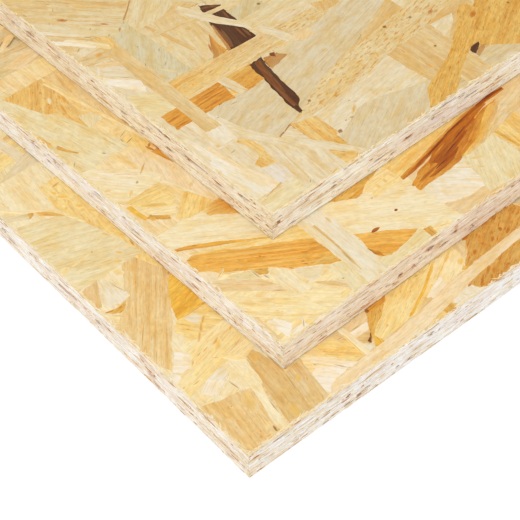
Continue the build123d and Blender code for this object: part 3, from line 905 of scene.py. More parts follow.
middleMarks = [
    ("amber", (32, 59.2, 60, 1.2, -34.4)),
    ("honey", (31.9, 56.9, 54, 1.4, -34.4)),
    ("amber", (30.5, 54.8, 56, 1, -34.4), (28, 51, 48, 1.1, -34.4)),
    ("honey", (30, 48, 44, 1.3, -34.4)),
    ("amber", (36, 41, 34, 1.1, -34.4), (88, 19.5, 24, 1, -35)),
    ("toast", (9, 57.5, 8, 1, 25), (38.5, 36, 3, 1.5, -70)),
    ("copper", (32, 52.8, 1.4, 1, 0), (46, 35, 1.8, 0.7, -25), (0.8, 67.5, 4, 1.5, 60)),
    ("sepia", (22, 45, 8, 1.1, 90)),
    ("toast", (23.5, 28.5, 8, 1, -42), (17.5, 4, 8, 1, 50), (29, 145.5, 12, 1.2, 37)),
    ("copper", (42.3, 154.5, 8, 1.5, -75), (43.5, 157.5, 4, 1.5, 35)),
    ("amber", (8.8, 111.8, 3.4, 2.4, -40)),
    ("sepia", (15.3, 108.4, 1.6, 1.2, 0)),
    ("amber", (34.5, 115, 3.6, 1.4, -30)),
    ("sepia", (65, 21, 12, 0.9, 83), (126, 0.5, 4, 1, -15), (104.5, 43.2, 2, 1.2, 0), (38, 174.5, 9, 1, 22),
     (34.8, 171, 5, 1, 80), (38, 168, 7, 1, 15), (21, 169.5, 3, 1.5, -60), (3.5, 173.5, 5, 1, 50),
     (20, 139, 3, 2, 40), (25, 40, 5, 1.5, -80), (53, 12.2, 1.5, 1.2, 0)),
    ("tan", (13, 54.5, 14, 1, -30), (47, 12, 12, 1.5, -50)),
    ("honey", (6, 33, 9, 4, -50), (49.5, 21.5, 6, 3, 0), (58, 15.5, 3, 3, 0), (76.3, 47.5, 5, 1.8, 85),
     (113.5, 47.5, 5, 2.5, 90), (119, 48, 4, 1.5, 80), (120, 52, 3, 1.3, 85), (124.5, 48, 6, 2, 90),
     (122, 43.5, 3, 2, 0), (117, 3.6, 10, 1.2, -18), (123.3, 21.2, 2.5, 1.5, 30), (107.5, 20.5, 2, 1, -30),
     (162, 26.5, 3, 2.5, 80), (165, 20, 6, 1.5, -40), (169, 26, 8, 2, -35), (158, 25.5, 12, 0.8, -42),
     (1, 81, 6, 1.2, 60)),
    ("gold", (0.5, 91, 8, 3, 85), (16, 119, 16, 3, -38), (26.2, 121, 10, 1, -75)),
    ("honey", (12, 135, 6, 3, 40), (4.5, 145, 6, 3, -30), (42, 134.5, 3, 3, 0), (40, 118, 4, 3, 0),
     (38, 180.5, 6, 5, 0), (36, 206, 4.5, 3, -80), (8, 218, 4, 1.6, -60), (13.7, 204.3, 2, 1.2, 0)),
    ("amber", (32, 221, 8, 2.5, 80), (26.5, 214, 12, 2.5, 75)),
    ("mahogany", (158, 38.6, 24, 1.6, 11), (172, 42.5, 20, 1.8, 15)),
    ("umber", (165, 41.2, 16, 0.8, 13), (176, 46, 14, 0.7, 15)),
    ("mahogany", (150, 33.4, 20, 1, 6)),
    ("umber", (152, 36.2, 12, 0.6, 10)),
    ("mahogany", (186, 48, 14, 1, 16)),
    ("russet", (140, 35.6, 16, 1.6, 9)),
    ("amber", (136, 31.6, 12, 1.4, 4), (152, 31.4, 12, 1, 4), (158, 44.6, 14, 0.9, 14),
     (170, 36.4, 12, 1.2, 16), (180, 40.6, 10, 1.6, 24)),
    ("umber", (158, 47.4, 26, 0.9, 12), (180, 52, 24, 0.8, 8)),
    ("mahogany", (145, 45, 16, 1.2, 13)),
    ("mist", (25, 225.5, 7, 2.5, 65)),
    ("peach", (2, 177, 4, 3, 70)),
    ("white", (2, 174, 6, 1.2, 60)),
]

# The same for the bottom board
bottomStrands = [
    ["wheat", (0, 0, 0, 34), (230, 0, 230, 34), 5],
    ["ivory", (0, 30, 0, 235), (52, 30, 52, 235), 85],
    ["hay", (0, 0, 0, 39), (21, 0, 21.5, 5, 23.5, 14, 27, 25, 28, 31), 80],
    ["ivory", (21.5, 0, 22, 8, 25, 19, 28, 31, 28.5, 36), (27, 0, 28.5, 10, 30, 20, 34, 31, 34.5, 36), 85],
    ["ivory", (22.5, 50, 22.5, 33), (38.5, 50, 35.5, 31), 85],
    ["tan", (27, 0, 29, 10, 33, 25, 36, 36, 38, 48), (42, 0, 45, 14, 47, 28, 46.5, 44, 45, 50), 82],
    ["sand", (42, 0, 44.5, 13, 47.3, 28), (53, 0, 55.5, 10, 57, 20, 62, 29), 80],
    ["butter", (58, 30, 78, 30), (57, 18, 66, 14, 84, 12), -40],
    ["white", (56, 17, 62, 20.5, 72, 9), (53.5, 0, 60, 0, 66, 5), -50],
    ["corn", (68, 30, 79, 29, 85, 20), (72, 20, 78, 9, 84.5, 9), -45],
    ["white", (63.5, 27, 71, 17.5, 79, 8.5), (60.5, 24, 68, 14.5, 75, 7.5), -50],
    ["wheat", (79, 30, 85, 30), (80.5, 25.5, 85, 20), -60],
    ["peach", (88.5, 30, 105, 31), (88.5, 25.5, 102, 25), 20],
    ["tan", (88.5, 20, 98, 20), (88.5, 13.5, 92, 13), -45],
    ["mist", (88.3, 9, 88.3, 16), (92.2, 9.2, 92, 13), 80],
    ["white", (88.4, 24.8, 100.5, 24.6), (88.4, 20.2, 98, 20.2), 0],
    ["maize", (96.5, 15, 100, 18, 119, 31.5, 172, 33.5),
     (99.5, 10.5, 115, 11, 125, 11.3, 140, 17.5, 150, 22, 172, 30), 27],
    ["saffron", (118, 12.3, 130, 18.2, 140, 23.3, 152, 31), (121, 11.8, 131, 16.6, 142, 22, 156, 31), 27],
    ["butter", (140, 21.4, 148, 26, 157, 31.5), (146, 19.4, 158, 24.6, 172, 31), 27],
    ["corn", (128, 26, 140, 31), (134, 24.5, 150, 31), 27],
    ["corn", (146, 21.5, 158, 27.5, 166, 32), (148, 21, 160, 26.5, 170, 32), 27],
    ["gold", (92.5, 13, 97, 18.5, 101, 25, 106, 31), (96.5, 14.5, 100, 18, 110, 23.5, 119, 31), 40],
    ["amber", (103.5, 29, 106, 31.5, 119.5, 31.5), (108, 27.5, 114, 27.5, 117.5, 28.5), 10],
    ["saffron", (92, 8.8, 96.3, 15.2), (98.8, 8.8, 96.8, 15.2), 85],
    ["rust", (91.5, 15, 94.5, 16.2, 99, 20), (92.6, 12.6, 95.5, 15.5, 98, 19.5), 45],
    ["ivory", (85, 8, 85, 30), (88.4, 8, 88.4, 30), 90],
    ["butter", (150, 22, 160, 27.5, 172, 31), (150, 15.5, 164, 16.5, 167, 18), 30],
    ["wheat", (170, 33.5, 170, 24.5), (181, 33.5, 174, 26), 80],
    ["caramel", (167, 19.5, 174, 25, 181, 33.8, 218, 35.5), (164, 16.8, 185, 17.7, 205, 19, 222, 21), 30],
    ["caramel", (157.5, 7.6, 170, 9.8, 185, 11.8, 205, 13.8), (163, 0, 215, 0), 30],
    ["chalk", (142, 5, 158, 8), (146, 0, 162, 0), 80],
    ["gold", (135, 4.2, 142, 5.2), (135, 0, 145.5, 0), 80],
    ["corn", (126, 3.5, 135, 4.2), (126, 0.5, 135, 0.3), 5],
    ["blush", (54, 1, 60, 7, 75, 8, 88, 8.8, 100, 9.5, 125, 11.3, 150, 15.5, 170, 16.8, 207, 19.3),
     (60, -2, 100, 0, 135, 4, 158, 8.2, 180, 11.3, 207, 13.8), 5],
    ["white", (135, 16.5, 150, 22), (137.5, 13, 150, 15.5), 15],
    ["butter/maize", (0, 62, 12, 60, 20, 76, 46, 76), (0, 46, 14, 49.5, 28, 52, 46, 50), 15],
    ["butter", (29, 55, 33, 55.5, 46, 59.5), (38, 47, 46, 50), 10],
    ["chalk", (14, 49.5, 26, 51), (21, 43, 27, 47), 10],
    ["white", (6, 44.5, 14.5, 49.5), (12.2, 38, 22, 43), 30],
    ["ivory", (13, 37.5, 22, 42.8), (16, 34.5, 23, 33.5), 20],
    ["white", (0, 63, 5, 64), (0, 57, 6, 58)],
    ["maize", (22, 86, 27, 90, 46, 88.5), (24, 74, 46, 74), -50],
    ["chalk", (30, 88.5, 38, 88), (33, 81, 39, 83), -50],
    ["saffron", (27, 89.3, 31, 99, 38, 111, 45.5, 119.5),
     (45.5, 89.3, 45.5, 99, 45.5, 110, 45.8, 119.5), 10],
    ["butter", (0, 119, 10, 108), (0, 104, 5, 104), -50],
    ["maize", (30, 130, 36, 150), (46, 122, 46, 150), 60],
    ["hay", (-8, 94, 10, 115, 20, 125, 34, 148),
     (4, 66, 12, 75, 20.5, 84.5, 30, 98, 38, 111.5, 47, 121), 52],
    ["white", (12, 74.5, 15, 72, 18.3, 67), (5, 64, 8, 61, 13, 61.5), -45],
    ["gold", (2.5, 119, 9, 117.3, 17, 118.5), (5, 115.5, 9, 113, 12, 113.5), 10],
    ["peach", (0, 123, 0, 138), (2, 122, 7, 130, 12.5, 140), 55],
    ["tan", (2, 123, 9, 139), (4, 123, 12.5, 140), 58],
    ["chalk", (7.5, 118, 6, 127, 13, 139.5), (20, 120, 18.5, 128, 16.3, 138.5), 80],
    ["linen", (0, 200, 28, 192, 34, 176), (0, 140, 44, 140), -20],
    ["maize", (30, 218, 28, 192, 33, 178, 40, 160, 41, 148), (44.5, 218, 44.5, 148), 85],
    ["straw", (0, 213, 8, 208, 14, 204), (0, 207, 6, 204, 12, 200.5), -40],
    ["gold", (13, 204.5, 17, 204), (12, 200.3, 15, 201.5), -35],
    ["honey", (17, 203, 24, 198, 29, 190.5), (17, 199, 22, 195, 28, 189.5), -48],
    ["butter", (0, 219, 8, 212, 17, 205.5, 25, 199.5, 29.5, 191, 34.5, 178),
     (0, 214, 8, 208.5, 15, 203.8, 22, 199.5, 27, 192, 32, 179)],
]
bottomMarks = [
    ("walnut", (20.6, 4.4, 3.4, 0.6, 80)),
    ("sepia", (13, 28.5, 1.2, 1.2, 0), (28.8, 15, 12, 0.8, 82), (45, 20, 15, 0.7, 77),
     (61.3, 21, 2.2, 1.2, -55), (93, 25.2, 9, 0.9, 0), (82.5, 25.3, 5, 0.7, -5), (22.5, 38, 9, 1, -83),
     (18, 128.5, 14, 0.7, -75), (23, 158, 2, 1.2, 50)),
    ("toast", (46.8, 34, 14, 1, 88), (70.5, 12, 9, 0.9, -58), (37, 89.2, 16, 0.9, 1), (44.8, 89.8, 3, 2, 0),
     (44.5, 118.6, 3, 2, 50), (8, 93.5, 20, 0.8, 49)),
    ("rust", (105.3, 29.8, 2.5, 2, 60)),
    ("toast", (48.8, 29, 2, 2, 0), (178, 26.5, 8, 1.5, 35), (169.5, 18, 5, 2, 20), (43.3, 149, 6, 1.8, 80),
     (38, 213, 6, 2, 10)),
    ("copper", (177, 22, 4, 2, 35), (199.5, 25, 3, 2, 60), (191, 22.5, 4, 1.5, 30), (202, 21.5, 5, 1.5, 30),
     (181, 32.8, 6, 1.5, 10), (197, 33.5, 8, 1.5, 8), (165, 5, 8, 1.3, 35), (170, 3, 6, 1, 40),
     (175, 2.4, 2, 1.5, 0), (173, 8.5, 6, 1.2, 35), (184, 4.3, 3, 1.3, 0), (158, 7.3, 3, 1, 10)),
    ("tan", (14.5, 38.8, 6, 0.9, 33), (24.3, 44.6, 5, 1, 38)),
    ("amber", (40, 57.5, 14, 0.9, 17)),
    ("tan", (34.5, 113.5, 9, 0.8, 50), (41, 120, 6, 0.8, 50), (3, 80.5, 5, 0.8, 48),
     (7.5, 111, 9, 0.8, -50), (3.5, 106.5, 10, 0.8, -50)),
    ("amber", (13.5, 101.5, 22, 0.8, 53)),
    ("tan", (46.8, 4, 5, 0.8, 75), (90.5, 9, 5, 0.8, 3), (151.5, 4, 5, 0.8, -60), (84.7, 18, 16, 0.8, 88)),
    ("amber", (21.3, 2.4, 2.2, 0.8, 80), (12, 5, 3, 1.5, 60), (15.3, 3, 3, 1.5, 0), (20.5, 25, 3, 1.3, 70),
     (25.5, 27, 5, 1.2, 70), (52.5, 17, 4, 1.3, 70), (9.2, 51.3, 5.4, 1.3, 5)),
    ("saffron", (49.5, 20.5, 5, 3, 60), (79, 19.5, 5, 3, -45), (73.5, 23, 4, 1.5, -35)),
    ("amber", (15.8, 62.3, 4.4, 1.4, 45), (21.5, 64.7, 4.4, 1.3, 20), (26, 65, 5, 1, 20),
     (26.6, 57.6, 4.6, 1.5, -30)),
    ("saffron", (33.2, 63.6, 9, 3.6, 40)),
    ("amber", (32.8, 62.2, 4, 1.2, 40), (33.5, 66, 6.4, 1.6, 25), (45, 67.8, 4, 1.5, 30), (2, 53, 4, 1, 0)),
    ("saffron", (13, 55.3, 4, 1, 5)),
    ("corn", (32.5, 38.5, 3, 3, 0), (8, 38.5, 4, 2, 0)),
    ("saffron", (166.5, 22, 6, 4, 30), (165, 17.5, 4, 2, 0)),
    ("corn", (25, 137, 7, 3.5, -60), (3.5, 156, 8, 6, 20), (15, 157, 14, 2, 8), (29, 144, 6, 4, -30)),
    ("saffron", (33.5, 148, 5, 2, -50), (36, 203, 8, 5, -40), (30, 205, 5, 2, -30)),
    ("gold", (22, 25, 15, 8, 75), (35, 6.5, 12, 9, 80), (42, 45, 8, 7, 85)),
    ("corn", (34, 51, 13, 3, -45)),
    ("amber", (29, 73.3, 8, 1.8, 45), (33.5, 77.7, 7.4, 1.8, 50), (38, 81.6, 6.8, 1.6, 40)),
    ("saffron", (42.5, 84.4, 7, 2, 22), (38.5, 191, 5, 3, -40)),
    ("corn", (37, 187, 5, 4, 0)),
    ("saffron", (35.5, 197, 4, 3, 60), (31.5, 194, 3, 2, 45), (42.5, 197.5, 3, 2, -60),
     (33.5, 208.5, 4, 2, -70)),
    ("corn", (42, 165, 10, 3, -75)),
    ("saffron", (36.5, 163.5, 5, 1.5, -60), (42.5, 158, 4, 2, -60)),
    ("corn", (43.5, 176, 4, 2, 0)),
    ("saffron", (41.5, 184, 9, 1.5, -55)),
]


# Boards

sideShape = {
    "rowStep": 0.5,
    "nearReach": 260.0,  # fine columns up to here from the near corner
    "nearStep": 0.8,
    "farStep": 5.0,
    "arrisInset": 0.25,
    "skinInset": 1.2,
    "layer": 0.8,  # thickness of a pressed strand
    "strandReach": (4, 22),  # how long the cut strands of a layer are
    # the layers' wander up and down: how far, and the length and height of its noise
    "slowWander": (1.4, 26, 1),
    "fastWander": (0.8, 9, 5),
    # length and height of the noise that roughens and browns the sides, and that of the cracks
    "softSize": (7, 1.1),
    "driftSize": (40, 9),
    "crackSize": (4.5, 0.9, 128),
    "crackAbove": 0.9,  # a crack opens where its noise is above this
    "stepDepth": 0.16,  # from one cut strand to the next
    "softDepth": 0.12,
    "crackDepth": 1.2,
    "gapDepth": 6.0,
    "gapHalo": (1.5, 1.6),  # the brown round a gap: times its length, and added to its opening
    "gapEdge": 0.5,  # depth at the edge of a gap, as a share of that at its middle
    "splitHeight": 12.9,
    "splitHalf": 0.3,  # half its opening
    "splitLeast": 0.3,  # its smallest depth
    "splitReach": {"long": (10, 4), "short": (4, 10)},  # inwards and along each side
    "cornerReach": 0.35,  # this near to a corner the relief stays shallow
    "cornerDepth": 0.25,
    "apart": 1500,  # offset from one side's noise to that of the next
    "cuts": 64,  # layers whose strands differ
    "cutShift": 9,  # the most strands that a layer is shifted by
    # steps by layer and by strand, and the first one, to a random draw for the tone and the depth
    "picks": ((131, 17, 3), (57, 29, 11)),
}

# What browns a sawn side. The noises brown it from 0 at the first value up to the last number at
# the second, and a gap or a stain by the first number times its lens, which counts up to the
# second.
sideBrown = {
    "soft": (0.62, 1.0, 0.35),
    "drift": (0.6, 1.0, 0.1),
    "crack": (0.84, 0.94, 0.5),
    "gap": (0.45, 0.6),
    "stain": (1.4, 0.7),
    "split": 0.6,
    "joint": 0.12,  # between two layers
    "jointHalf": 0.1,  # its half as a share of a layer
    "most": 0.9,
    "copper": 0.8,  # how near to copper the brownest wood comes
    "faceLight": 0.9,  # of the two faces between their strands
}

# The tones of the cut strands, pale first, and how common each is
sideTones = np.array([linear(colour)[:3] for colour in (
    "#FCF8F1", "#F9F3E9", "#F5ECDE", "#F0E3D0", "#E8D4B8", "#DCC09A", "#C69E6E")])
sideShares = np.cumsum([0.28, 0.3, 0.2, 0.12, 0.06, 0.03, 0.01])

# For each board: its strands and marks, how far they reach along and across and how square that
# reach is, how much lighter or darker each near sawn side is painted in red, green and blue (painted
# light and shade that makes one side lighter and another darker), whether a strand has lifted at its
# near corner, and on each near side
# - gaps, the open ones between the strands, as the solids have them: distance from the near
#   corner, height as a share of the thickness, length and opening
# - stains, the brown streaks of late wood and resin: distance, height in millimetres, length,
#   thickness and strength
boards = {
    "bottom_panel": {
        "strands": bottomStrands, "marks": bottomMarks, "reach": (245, 245, 8), "split": True,
        "paintedSideLight": {"long": (0.93, 0.97, 1.02), "short": (1.02, 1.01, 1.02)},
        "gaps": {
            "short": [(15.5, 0.16, 5, 1.4), (73.5, 0.14, 6, 1.6), (76.5, 0.5, 6, 1.4), (80.5, 0, 10, 4.6),
                      (116, 0.61, 12, 0.8), (123.5, 0.45, 4, 1.8), (143.5, 0.53, 4.5, 1.8),
                      (153.5, 0.45, 13, 1.2), (167.5, 0.68, 7, 0.8), (178.5, 0.6, 4, 1.2),
                      (203, 0.34, 9, 1.2), (210.5, 0.54, 4.5, 2)],
            "long": [(22, 0.85, 18, 0.6), (44, 0.44, 2.5, 1.2), (50.5, 0.48, 4.5, 1.5), (50, 0, 6, 2.4),
                     (65, 0.54, 4, 2), (66, 0.18, 8, 1.3), (72.5, 0.2, 3, 2.2), (78, 0.29, 5, 1.2),
                     (99.5, 0.24, 2.5, 1.8), (110, 0.22, 6, 1.8), (123, 0.68, 5, 1.6), (157, 0, 16, 3)],
        },
        "stains": {
            "short": [(77, 7.5, 12, 4, 0.6), (72, 3, 9, 1.6, 0.9), (13.5, 3, 10, 1.4, 0.6),
                      (48.5, 10.5, 8, 1, 0.5), (39, 7, 9, 1, 0.5), (112, 11, 26, 1.2, 0.5),
                      (122.5, 9, 6, 3, 0.6), (152, 9.5, 26, 2.4, 0.6), (205, 8, 16, 2, 0.5)],
            "long": [(30, 6, 16, 1.2, 0.35), (64, 4, 14, 2, 0.45), (108, 5, 12, 2.4, 0.4),
                     (90, 12, 18, 1.2, 0.3), (142, 8, 20, 1.4, 0.35), (154, 10, 62, 11, 0.12)],
        },
    },
    "middle_panel": {
        "strands": middleStrands, "marks": middleMarks, "reach": (258, 258, 8), "split": False,
        "paintedSideLight": {"long": (0.91, 0.87, 0.82), "short": (1.1, 1.15, 1.2)},
        "gaps": {
            "short": [(4, 0.4, 3, 1.6), (41, 0.49, 4, 1.4), (66.5, 0.75, 6.5, 1.6), (71.5, 0.23, 11, 0.9),
                      (95.5, 0.54, 4, 1.4), (116.5, 0.56, 9, 1), (138.5, 0.31, 5, 1.6),
                      (149, 0.83, 7, 1.2), (188, 0.72, 14, 1), (194.5, 0.44, 5, 1.2), (209, 0.64, 10, 0.9)],
            "long": [(11, 0.69, 4.5, 0.9), (28, 0.27, 5, 1), (73.5, 0.36, 3, 1.2), (83, 0.41, 3.5, 1.8),
                     (105.5, 0.62, 4, 2.2), (116, 0.39, 8, 1.2), (123.5, 0.59, 5, 1.2), (138, 0.2, 7, 0.8)],
        },
        "stains": {
            "short": [(10, 9, 12, 1.2, 0.3), (45, 10, 14, 1, 0.4), (96, 8, 20, 1.4, 0.4),
                      (150, 13, 14, 1.4, 0.4), (190, 11, 24, 1.6, 0.4)],
            "long": [(11, 12.5, 8, 1.2, 0.5), (27, 4.5, 7, 1.2, 0.5), (104, 12, 8, 4, 0.7),
                     (116.5, 7, 7, 1.6, 0.8), (83, 8, 4, 1.6, 0.5), (59, 3, 7, 2.4, 0.6),
                     (125, 13, 4, 8, 0.5)],
        },
    },
    "top_panel": {
        "strands": topStrands, "marks": topMarks, "reach": (245, 262, 1.0), "split": False,
        "paintedSideLight": {"long": (0.96, 1.02, 1.04), "short": (0.98, 0.96, 0.87)},
        "gaps": {
            "short": [(11.5, 0.53, 3, 1), (15, 0.15, 4.5, 1.3), (23.5, 0.79, 7, 2), (41, 0.53, 7, 1.2),
                      (63.5, 0.62, 27, 1.3), (84.5, 0.36, 6, 1.8), (91, 0.84, 14, 0.8),
                      (101.5, 0.56, 5, 1.4), (109.5, 0.12, 4, 1.4), (124.5, 0.4, 6, 1.3),
                      (213, 0.66, 10, 1.3), (226.5, 0.58, 8, 0.9)],
            "long": [(4.5, 0.58, 2.5, 1.4), (14, 0.17, 5, 1.2), (44, 0.53, 3.5, 1.5), (78, 0.42, 6.5, 1.2),
                     (89.5, 0.27, 4, 1), (101, 0.53, 5.5, 1.6), (120.2, 0.6, 2.5, 1.8),
                     (131, 0.86, 14, 0.6), (142.5, 0.79, 6, 1.2), (150.5, 0.56, 14, 1.1)],
        },
        "stains": {
            "short": [(63, 11.5, 28, 1.4, 0.8), (69, 15, 13, 1.2, 0.5), (90, 15, 16, 1.8, 0.6),
                      (42, 9.5, 9, 1.4, 0.7), (24, 9, 13, 1.2, 0.5), (85, 7, 7, 2, 0.9)],
            "long": [(16.5, 3, 12, 1.4, 0.5), (79, 7.5, 9, 1.4, 0.7), (89, 5, 7, 1.2, 0.5),
                     (100.5, 9, 10, 3.6, 0.6), (93, 17, 11, 1.2, 0.4), (130, 16, 11, 1.4, 0.4),
                     (4, 10, 4, 2, 0.4)],
        },
    },
}


def sideColumns(length, fine):
    # distances along one side, close together near the near corner
    reach = sideShape["nearReach"] if fine else 0.0
    near = np.arange(0, reach, sideShape["nearStep"])
    far = np.linspace(reach, length, int((length - reach) / sideShape["farStep"]) + 1)
    return np.concatenate([near, far])


def lens(s, z, spot, height, length, opening):
    # 1 at the middle of a pointed lens, falling to 0 on its two arcs and negative outside
    return 1 - ((s - spot) / (length / 2)) ** 2 - np.abs(z - height) / (opening / 2)


def ramp(values, low, high, most):
    # 0 up to low, then rising to most at high
    return most * ((values - low) / (high - low)).clip(0, 1)


def softNoise(rng, s, z, alongMm, upMm, size=64):
    # smooth random values on a lattice of cells alongMm by upMm, mixed between by cosine steps
    table = rng.random((size, size))
    u, v = s / alongMm, z / upMm
    i, j = np.floor(u).astype(int), np.floor(v).astype(int)
    p, q = [(1 - np.cos(np.pi * (w - np.floor(w)))) / 2 for w in (u, v)]
    at = [[table[(i + m) % size, (j + n) % size] for n in (0, 1)] for m in (0, 1)]
    return (at[0][0] * (1 - p) + at[1][0] * p) * (1 - q) + (at[0][1] * (1 - p) + at[1][1] * p) * q


def boardPiece(name, place, rng, parts):
    # The path runs round the board's outline, the profile from the sunk underside over the arris,
    # up the side and in again. A point is pushed inwards by the relief of the cut strands, and
    # much further where it lies in the lens of a gap.
    length, width, thick = board["length"], board["width"], board["thickness"]
    nearLong, nearShort, farLong, farShort = [
        sideColumns(size, fine) for fine in (True, False) for size in (length, width)]
    pathX = np.concatenate([nearLong, np.full(len(farShort) - 1, length),
                            farLong[::-1][1:], np.zeros(len(nearShort) - 2)])
    pathY = np.concatenate([np.zeros(len(nearLong)), farShort[1:],
                            np.full(len(farLong) - 1, width), nearShort[::-1][1:-1]])
    onLong = (pathY == 0) | (pathY == width)
    farSide = (pathY == width) | ((pathX == length) & ~onLong)
    arris, skin = board["arris"], board["skinDepth"]
    rows = np.arange(arris, thick - arris + 0.01, sideShape["rowStep"])
    heights = np.concatenate([[skin, arris * 0.5], rows, [thick - arris * 0.5, thick - skin]])
    rim = [sideShape["skinInset"], sideShape["arrisInset"]]
    insets = np.concatenate([rim, np.zeros(len(rows)), rim[::-1]])

    # The cut strands: layers that wander up and down, each divided into strands of its own length.
    # bend is the distance along a side plus an offset, so that no two sides are alike.
    s, z = np.meshgrid(np.where(onLong, pathX, pathY), heights, indexing="ij")
    bend = s + sideShape["apart"] * 2 * farSide[:, None] + sideShape["apart"] * onLong[:, None]
    (slow, *slowSize), (fast, *fastSize) = sideShape["slowWander"], sideShape["fastWander"]
    wander = slow * softNoise(rng, bend, 0 * z, *slowSize) + fast * softNoise(rng, bend, z, *fastSize)
    layer = np.floor((z + wander) / sideShape["layer"]).astype(int) + 4
    inLayer = (z + wander) / sideShape["layer"] % 1
    cuts = sideShape["cuts"]
    reach = rng.uniform(*sideShape["strandReach"], cuts)[layer % cuts]
    cell = np.floor(bend / reach + rng.random(cuts)[layer % cuts] * sideShape["cutShift"]).astype(int)
    draws = rng.random(4096)
    tonePick, stepPick = [draws[(layer * layerStep + cell * cellStep + first) % len(draws)]
                          for layerStep, cellStep, first in sideShape["picks"]]
    tone = sideTones[np.searchsorted(sideShares[:-1], tonePick)]
    soft = softNoise(rng, bend, z, *sideShape["softSize"])
    drift = softNoise(rng, bend, z, *sideShape["driftSize"])
    joint = np.abs(inLayer - 0.5) > 0.5 - sideBrown["jointHalf"]
    brown = ramp(soft, *sideBrown["soft"]) + ramp(drift, *sideBrown["drift"])
    brown = brown + sideBrown["joint"] * joint
    push = sideShape["stepDepth"] * stepPick + sideShape["softDepth"] * soft

    # short cracks between the layers, only a little way in
    crack = softNoise(rng, bend, z, *sideShape["crackSize"])
    push = push + sideShape["crackDepth"] * (crack > sideShape["crackAbove"])
    brown = brown + ramp(crack, *sideBrown["crack"])
    gapShade = 0.0 * s
    haloLength, haloOpening = sideShape["gapHalo"]
    (haloBrown, haloMost), (stainBrown, stainMost) = sideBrown["gap"], sideBrown["stain"]
    shallow = sideShape["gapEdge"]

    for side, near in (("long", pathY == 0), ("short", pathX == 0)):
        here = near[:, None] & (z > 0)
        # each near side is painted lighter or darker and tinted: painted light and shade of that side
        tone = (tone * np.where(here[..., None], parts["paintedSideLight"][side], 1)).clip(0, 0.95)
        for spot, share, size, opening in parts["gaps"][side]:
            inside = np.where(here, lens(s, z, spot, share * thick, size, opening), -1)
            depth = sideShape["gapDepth"] * (shallow + (1 - shallow) * inside)
            push = np.where(inside > 0, depth, push)
            halo = lens(s, z, spot, share * thick, size * haloLength, opening + haloOpening)
            brown = brown + here * haloBrown * halo.clip(0, haloMost)
            gapShade = gapShade + (inside > 0)
        for spot, height, size, deep, strength in parts["stains"][side]:
            stain = lens(s, z, spot, height, size, deep).clip(0, stainMost)
            brown = brown + here * strength * stain * stainBrown
        if parts["split"]:
            # a lifted strand leaves a three-cornered split at the corner itself
            reachIn, reachAlong = sideShape["splitReach"][side]
            away = np.abs(z - sideShape["splitHeight"])
            lifted = here & (away < sideShape["splitHalf"]) & (s < reachAlong)
            depth = (reachIn * (1 - s / reachAlong)).clip(sideShape["splitLeast"])
            push = np.where(lifted, depth, push)
            brown = brown + sideBrown["split"] * lifted
    push[:, 0], push[:, -1] = push[:, 1], push[:, -2]
    corner = s < sideShape["cornerReach"]
    corner |= s > np.where(onLong, length, width)[:, None] - sideShape["cornerReach"]
    push = np.where(corner, push.clip(0, sideShape["cornerDepth"]), push)

    brown = sideBrown["copper"] * (brown * (insets == 0)).clip(0, sideBrown["most"])[..., None]
    gapShade = gapShade.clip(0, 1)[..., None]
    copper, bark, straw = [toneColour[toneIndex[key]] for key in ("copper", "bark", "straw")]
    tone = tone * (1 - brown) + copper * brown
    # inside a gap the wood is painted bark-dark: painted shade in the hollow
    tone = tone * (1 - gapShade) + bark * gapShade
    tone[:, [0, -1]] = sideBrown["faceLight"] * straw
    tone = np.concatenate([tone, np.ones((*s.shape, 1))], -1).reshape(-1, 4)

    inward = insets[None, :] + push
    x, y = [path[:, None] + (1.0 * (path == 0) - (path == end))[:, None] * inward
            for path, end in ((pathX, length), (pathY, width))]
    columns, high = x.shape
    i, j = np.meshgrid(np.arange(columns), np.arange(high - 1), indexing="ij")
    quads = gridQuads(i, j, (i + 1) % columns, high).reshape(-1, 4)
    lowest = np.arange(columns) * high
    return makePiece(name, toWorld(place, x, y, z).reshape(-1, 3), quads,
                     {"grain": np.stack([bend.ravel(), z.ravel()], -1)}, {"tone": tone},
                     sideMaterial, [lowest + high - 1, lowest[::-1]])


def hiddenBy(place, other, spare=6.0):
    # whether a place on one board lies under or over another board, with a little to spare
    def test(x, y):
        otherX, otherY = toBoard(other, toWorld(place, x, y, 0 * x))
        return ((otherX > spare) & (otherX < board["length"] - spare)
                & (otherY > spare) & (otherY < board["width"] - spare))
    return test


def sunkNear(reachX, reachY, power, depth=0.5):
    # The scattered strands sink under the listed ones: by depth where the distance
    # ((x / reachX) ^ power + (y / reachY) ^ power) ^ (1 / power) is below 1, fading out beyond.
    def lower(x, y):
        far = ((x.clip(0) / reachX) ** power + (y.clip(0) / reachY) ** power) ** (1 / power)
        fade = ((1.05 - far) / 0.1).clip(0, 1)
        return depth * fade * fade * (3 - 2 * fade)
    return lower


# Splinters that stand loose along the two near arrises of a face, mostly in line with them
edgeSplinters = {
    "tones": {"white": 0.2, "chalk": 0.25, "frost": 0.12, "ivory": 0.22, "butter": 0.15, "wheat": 0.06},
    "count": 700,
    "reach": 300.0,
    "crowding": 1.15,  # the higher, the closer to the near corner
    "inset": (0.35, 0.8),  # smallest distance from the arris, and the spread beyond it
    "lengthLog": (1.4, 0.45),
    "length": (1.6, 10),
    "width": (0.3, 0.95),
    "turnSpread": 0.3,
}

# Fibres that the saw has torn up on a sawn side
sawFibres = {
    "tones": {"white": 0.4, "frost": 0.24, "chalk": 0.18, "ivory": 0.07, "toast": 0.08, "copper": 0.03},
    "count": 450,
    "crowding": 2.2,
    "lengthLog": (1.35, 0.5),
    "length": (1.5, 12),
    "width": (0.22, 0.6),
    "turnSpread": 0.09,
}


